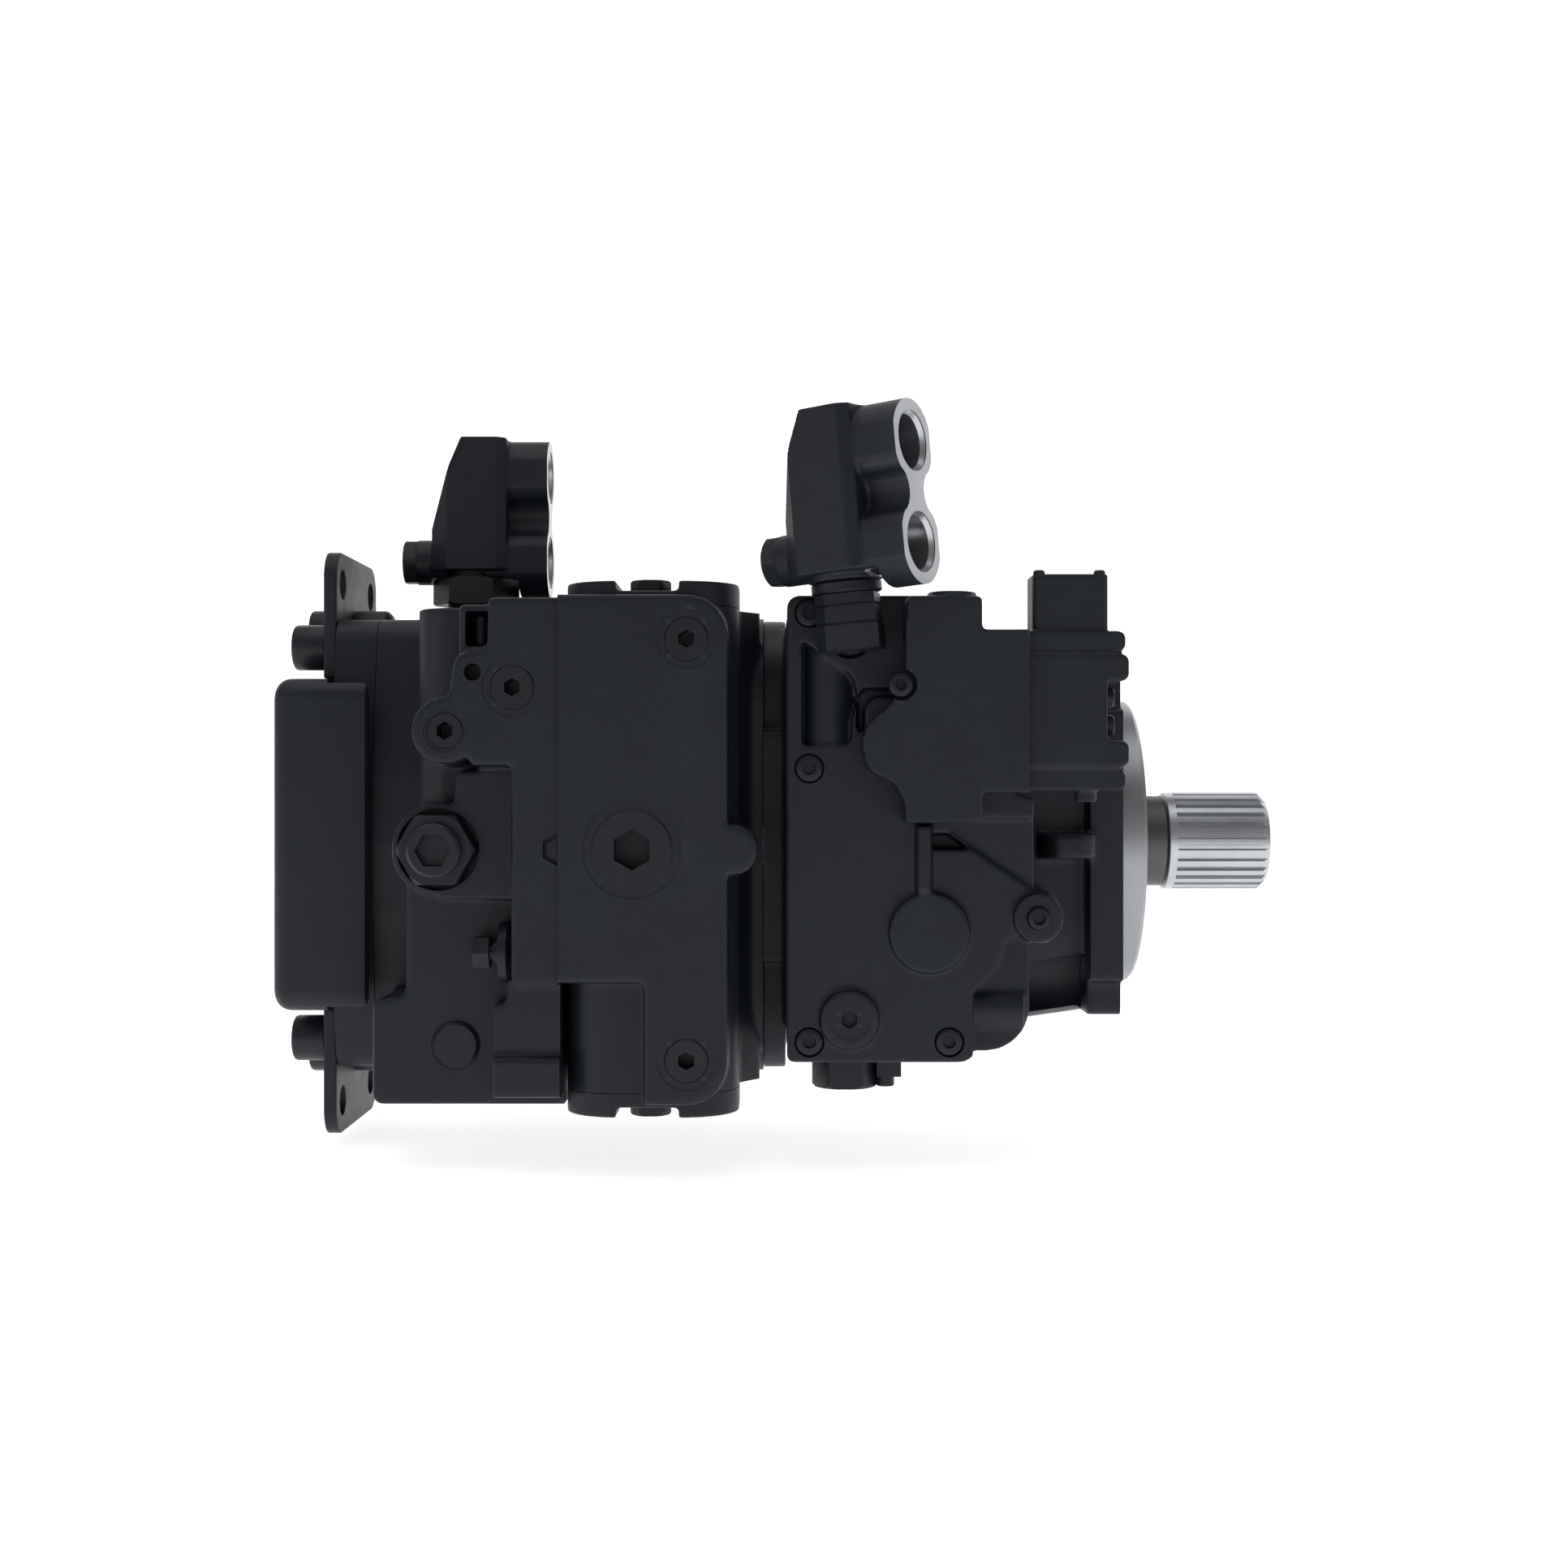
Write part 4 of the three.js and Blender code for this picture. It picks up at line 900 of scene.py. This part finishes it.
def add_control():
    show("control_cover_casting", control_cover(), "black_paint", replaces="control_cover")
    show("control_housing_casting", control_housing(), "black_paint", replaces="control_housing")
    show("solenoid_moulding", solenoid_block(), "black_plastic", replaces="solenoid_block")
    show("connector_blades", connector_pins(), "bright_steel")
    for i, (x, z) in enumerate(COVER_SCREWS):
        y, head = (COVER_FACE + 5 - GAP, 5.5) if i < 4 else (-119 - GAP, 4.5)
        screw = cap_screw(head_r=head, height=4.4, shank_r=3, length=16, key=4.6)
        aimed(screw, (x, y, z), (0, -1, 0))
        show(f"cover_cap_screw_{i + 1}", screw, "black_steel", replaces=f"cover_screw_{i + 1}")
    x, z = HOUSING_SCREW
    screw = cap_screw(head_r=4.8, height=6.5, shank_r=3, length=2, key=4)
    aimed(screw, (x, -132.4, z), (0, -1, 0))
    show("housing_cap_screw", screw, "black_steel")
    domed = [(0, 0), (4.2, 0), (4.2, 5), (3.9, 6), (3.2, 6.6), (1.2, 6.6), (0, 6.1)]
    for side, (y, z) in zip(("upper", "lower"), BUTTONS):
        button = moved(turned("x", domed, sides=48), BUTTON_FOOT, y, z)
        show(f"push_button_{side}", button, "black_plastic", f"button_{side}",
             f"override_button_{side}")


# ---------- twin-port blocks and their fittings ----------
BLOCK_Z = 9
LOWER_PORT = 17.5
PORT_PITCH = 39.5
PORT_FACE = 34.5
MOUTH_R = 12
REAR_BLOCK_Z = 6
REAR_BLOCK_UNDER = 13
NUT_ROOM_TOP = 10
NUT_AF = 34.6
COLLAR_R = 12.7
FRONT_BLOCK_Z = 16
FRONT_TILT = math.radians(-5)
FRONT_TURN = math.radians(-30)
ELBOW_TURN = math.radians(-12)
ELBOW_CHAMFER = 4.5


def twin_port_block(under=BLOCK_Z, room=(), collar=()):
    """A port block at its swivel. room is cut away below it, and collar is cast on."""
    side = outline((-19, under), (16, under), (16, 73.4), (-4.5, 73.4), (-10, 60.6), (-19, 32))
    plan = outline((-19, -11), (-11, -19), (12, -19), (22, -11),
                   (22, 11), (12, 19), (-11, 19), (-19, 11))
    lobes = (LOWER_PORT, LOWER_PORT + PORT_PITCH)
    body = common(prism("y", side, -20, 20), prism("z", plan, 0, 80))
    web = prism("x", rounded_rect((-9.5, 9.5), (LOWER_PORT + 8, lobes[1] - 8), 0), 6, PORT_FACE + 3)
    bosses = join(*(rod("x", 16.5, 6, PORT_FACE + 3, (0, z), 96) for z in lobes), web)
    waist = [rod("x", 9, 5, PORT_FACE + 4, (y, (lobes[0] + lobes[1]) / 2)) for y in (-15.2, 15.2)]
    bosses = cut(bosses, *waist)
    bosses = common(bosses, block((0, 40), (-15.4, 15.4), (1, 73.4)))
    bosses = cut(bosses, block((-1, 21), (-16, 16), (0, BLOCK_Z)))
    plug = rod("x", 10.4, -27, -12, (0, LOWER_PORT))
    rough = cast(body, bosses, plug, *collar, voxel=0.65, rounding=3, keep=0.35)
    mouth = [(0, 4), (10.6, 4), (10.6, 32.3), (MOUTH_R, 34), (MOUTH_R, 36), (0, 36)]
    mouths = [turned("x", mouth, (0, z)) for z in lobes]
    chamfered_hex = common(hexagon("x", 19, -32.7, -26, (0, LOWER_PORT)),
                           disc("x", 10.6, 1, -20, -32.7, (0, LOWER_PORT)))
    return cut(
        join(rough, chamfered_hex),
        block((PORT_FACE, 60), (-40, 40), (-10, 90)),
        rod("z", 8, 0, LOWER_PORT + PORT_PITCH),
        *room,
        *mouths,
    )


def rear_port_block():
    room = (rod("z", NUT_AF / math.sqrt(3) + 0.6, -5, NUT_ROOM_TOP),
            rod("z", COLLAR_R + 0.6, 0, REAR_BLOCK_UNDER))
    return twin_port_block(REAR_BLOCK_UNDER, room=room)


def front_port_block():
    return twin_port_block(collar=(rod("z", 15, 6, BLOCK_Z + 0.5),))


def rear_fitting():
    nut_top = REAR_BLOCK_Z + NUT_ROOM_TOP - GAP
    under = REAR_BLOCK_Z + REAR_BLOCK_UNDER - GAP
    chamfers = turned("z", [(0, 3), (18.4, 3), (20.2, 4.6), (20.2, nut_top - 1.4), (18.4, nut_top),
                            (0, nut_top)])
    nut = common(hexagon("z", NUT_AF, 3.4, nut_top), chamfers)
    return join(
        nut,
        rod("z", 8.6, -10, 5),
        rod("z", 13, -6.2, 5),
        rod("z", COLLAR_R, nut_top - 1, under),
        rod("z", 7, under - 1, under + 16),
    )


def front_elbow():
    """A chamfered square leg with turned bands, and the stub that goes into the cover."""
    leg = ((11.8, -5.6), (12.4, -5), (12.4, 4.5), (11.5, 4.8), (11.5, 5.2), (11.9, 5.5), (11.9, 11.9),
           (11.2, 12.1), (11.2, 12.5), (11.9, 12.8), (11.9, 16.8), (11, 17.2), (11, 18))
    sections = []
    for half, z in leg:
        flat = half - ELBOW_CHAMFER
        corners = [(half, -flat), (half, flat), (flat, half), (-flat, half),
                   (-half, flat), (-half, -flat), (-flat, -half), (flat, -half)]
        sections.append(([Matrix.Rotation(ELBOW_TURN, 2) @ Vector(corner) for corner in corners], z))
    collar = turned("z", [(0, 17), (13.4, 17.4), (14, 18), (14, 21.1), (13.4, 21.7), (0, 21.7)])
    return join(loft("z", sections), collar, rod("y", 8.4, 0, 22, (0, STUB_RISE)), rod("z", 7, 21, 36))


def at_front(mesh):
    """Puts a mesh on the front fitting, which leans with its leg."""
    mesh.transform(Matrix.Translation(FRONT_FITTING) @ Matrix.Rotation(FRONT_TILT, 4, "Y"))
    return mesh


def bare_port_face(mesh):
    """The flat face round the ports and the walls of the ports."""
    centres = np.array([face.center for face in mesh.polygons])
    lobes = (LOWER_PORT, LOWER_PORT + PORT_PITCH)
    near = np.min([np.hypot(centres[:, 1], centres[:, 2] - z) for z in lobes], axis=0)
    return (centres[:, 0] > PORT_FACE - 0.02) | ((near < MOUTH_R + 0.1) & (centres[:, 0] > 3.5))


def add_port_blocks():
    rear, front = rear_port_block(), front_port_block()
    masks = bare_port_face(rear), bare_port_face(front)
    moved(rear, REAR_FITTING[0], REAR_FITTING[1], REAR_FITTING[2] + REAR_BLOCK_Z)
    show("rear_twin_port_block", rear, "black_paint", "rear_block", "rear_port_block",
         lambda _: masks[0])
    front.transform(Matrix.Translation((0, 0, FRONT_BLOCK_Z)) @ Matrix.Rotation(FRONT_TURN, 4, "Z"))
    show("front_twin_port_block", at_front(front), "black_paint", "front_block", "front_port_block",
         lambda _: masks[1])
    show("rear_swivel_fitting", moved(rear_fitting(), *REAR_FITTING), "black_steel",
         replaces="rear_fitting")
    show("front_elbow_fitting", at_front(front_elbow()), "black_steel", replaces="front_fitting")


# ---------- drain plug, shaft and seal ----------
def drain_plug():
    at = (-118, -93)
    return common(hexagon("z", 24, -99, -86.3, at), disc("z", 13.6, 1.2, -80, -99, at))


NECK_END = 28.6
SPLINE_TEETH = 27


def drive_shaft():
    blank = turned("x", [
        (0, -333), (11, -333), (11, -312), (15, -311), (15, -235), (17.5, -234), (17.5, -60),
        (19.7, -59), (19.7, 19), (20.4, 19.6), (20.4, NECK_END), (21.4, NECK_END + 0.4),
        (22, NECK_END + 1.2), (22, 72), (19.2, 75), (17.6, 75), (17, 74.4), (0, 74.4),
    ], sides=108)
    groove = outline((20.25, -0.75), (23.5, -1.75), (23.5, 1.75), (20.25, 0.75))
    grooves = []
    for i in range(SPLINE_TEETH):
        one = prism("x", groove, NECK_END + 4.6, 80)
        one.transform(Matrix.Rotation(2 * math.pi * i / SPLINE_TEETH, 4, "X"))
        grooves.append(one)
    return cut(blank, together(*grooves))


def ring(axis, inner, outer, start, end, bevel=0.4):
    """A turned ring with chamfered outer edges."""
    body = turned(axis, [(0, start), (outer - bevel, start), (outer, start + bevel),
                         (outer, end - bevel), (outer - bevel, end), (0, end)])
    return cut(body, rod(axis, inner, start - 1, end + 1))


def add_shaft():
    # The neck, from the flange face to NECK_END, takes the darker dull_steel: painted shade for the
    # dark recess in front of the seal.
    show("splined_shaft", drive_shaft(), "bright_steel", "rotor", "drive_shaft",
         lambda centres: (centres[:, 0] > 0) & (centres[:, 0] < NECK_END + 0.1), "dull_steel")
    show("seal_retainer", ring("x", 26, 32.7, 2, 10), "black_steel", replaces="seal_carrier")
    show("shaft_lip_seal", ring("x", 20, 25.7, 3, 9), "black_rubber", replaces="shaft_seal")
    show("drain_hex_plug", drain_plug(), "black_steel", replaces="drain_plug")
    stud = join(block((-105, -95), (-99, -89), (-94.6, -84)),
                disc("z", 3.8, 0.5, -90, -98.8, (-101.4, -94)))
    show("drain_side_stud", stud, "black_steel")


# ---------- camera, light and stage ----------
CAMERA_PLACE = (-0.1432, -0.985, 0.0259)
LENS, SENSOR = 49.45, 36
FLOOR_DROP = 0.004


def add_camera():
    data = bpy.data.cameras.new("camera")
    data.lens = LENS
    data.sensor_width = SENSOR
    camera = bpy.data.objects.new("camera", data)
    camera.location = CAMERA_PLACE
    camera.rotation_euler = (math.pi / 2, 0, 0)
    bpy.context.scene.collection.objects.link(camera)
    bpy.context.scene.camera = camera


def add_stage():
    """A pale floor that curves up into a wall behind the pump."""
    floor = cad_box[0][2] - FLOOR_DROP
    reach, height, behind, bend, steps = 4.0, 3.0, 1.0, 1.2, 12
    profile = [(-reach, floor), (behind, floor)]
    for k in range(1, steps + 1):
        lean = math.radians(90 * k / steps)
        profile.append((behind + bend * math.sin(lean), floor + bend * (1 - math.cos(lean))))
    profile.append((behind + bend, floor + height))
    points = [(x, y, z) for x in (-reach, reach) for y, z in profile]
    n = len(profile)
    faces = [(i, i + 1, n + i + 1, n + i) for i in range(n - 1)]
    mesh = bpy.data.meshes.new("floor")
    mesh.from_pydata(points, [], faces)
    mesh.shade_smooth()
    material = bpy.data.materials.new("pale_floor")
    material.use_nodes = True
    shader = material.node_tree.nodes["Principled BSDF"]
    shader.inputs["Base Color"].default_value = (0.9, 0.9, 0.9, 1)
    shader.inputs["Roughness"].default_value = 0.9
    shader.inputs["Emission Color"].default_value = (1, 1, 1, 1)
    shader.inputs["Emission Strength"].default_value = 0.8
    mesh.materials.append(material)
    stage = bpy.data.objects.new("floor", mesh)
    bpy.context.scene.collection.objects.link(stage)


def add_light(name, place, target, size, power):
    data = bpy.data.lights.new(name, "AREA")
    data.shape = "RECTANGLE"
    data.size, data.size_y = size
    data.energy = power
    light = bpy.data.objects.new(name, data)
    light.location = place
    light.rotation_euler = (Vector(target) - Vector(place)).to_track_quat("-Z", "Y").to_euler()
    bpy.context.scene.collection.objects.link(light)


def add_lights():
    middle = (-0.14, 0, 0)
    add_light("top", (-0.4, -0.3, 1.5), middle, (1.6, 1.4), 9)
    add_light("left", (-1.6, -0.8, 0.6), middle, (1.0, 1.4), 2.5)
    add_light("right", (1.5, -0.9, 0.5), middle, (0.8, 1.4), 2)
    add_light("front", (-0.2, -2.4, 0.5), middle, (2.4, 1.6), 1.6)
    world = bpy.data.worlds.new("studio")
    bpy.context.scene.world = world
    world.use_nodes = True
    background = world.node_tree.nodes["Background"]
    background.inputs["Color"].default_value = (1, 1, 1, 1)
    background.inputs["Strength"].default_value = 0.16
    bpy.context.scene.view_settings.view_transform = "Standard"


# ---------- the internals keep their CAD shapes ----------
def finish_internals():
    """Gives every CAD node the finish that its record names."""
    slots = {row["node"]: row["material_slot"] for row in frame["record"]["subparts"]}
    for name, part in frame["nodes"].items():
        part.data.materials.clear()
        part.data.materials.append(FINISHES[slots[name]])


add_camera()
add_stage()
add_lights()
finish_internals()
add_front_housing()
add_main_housing()
add_end_cap()
add_rear()
add_control()
add_port_blocks()
add_shaft()
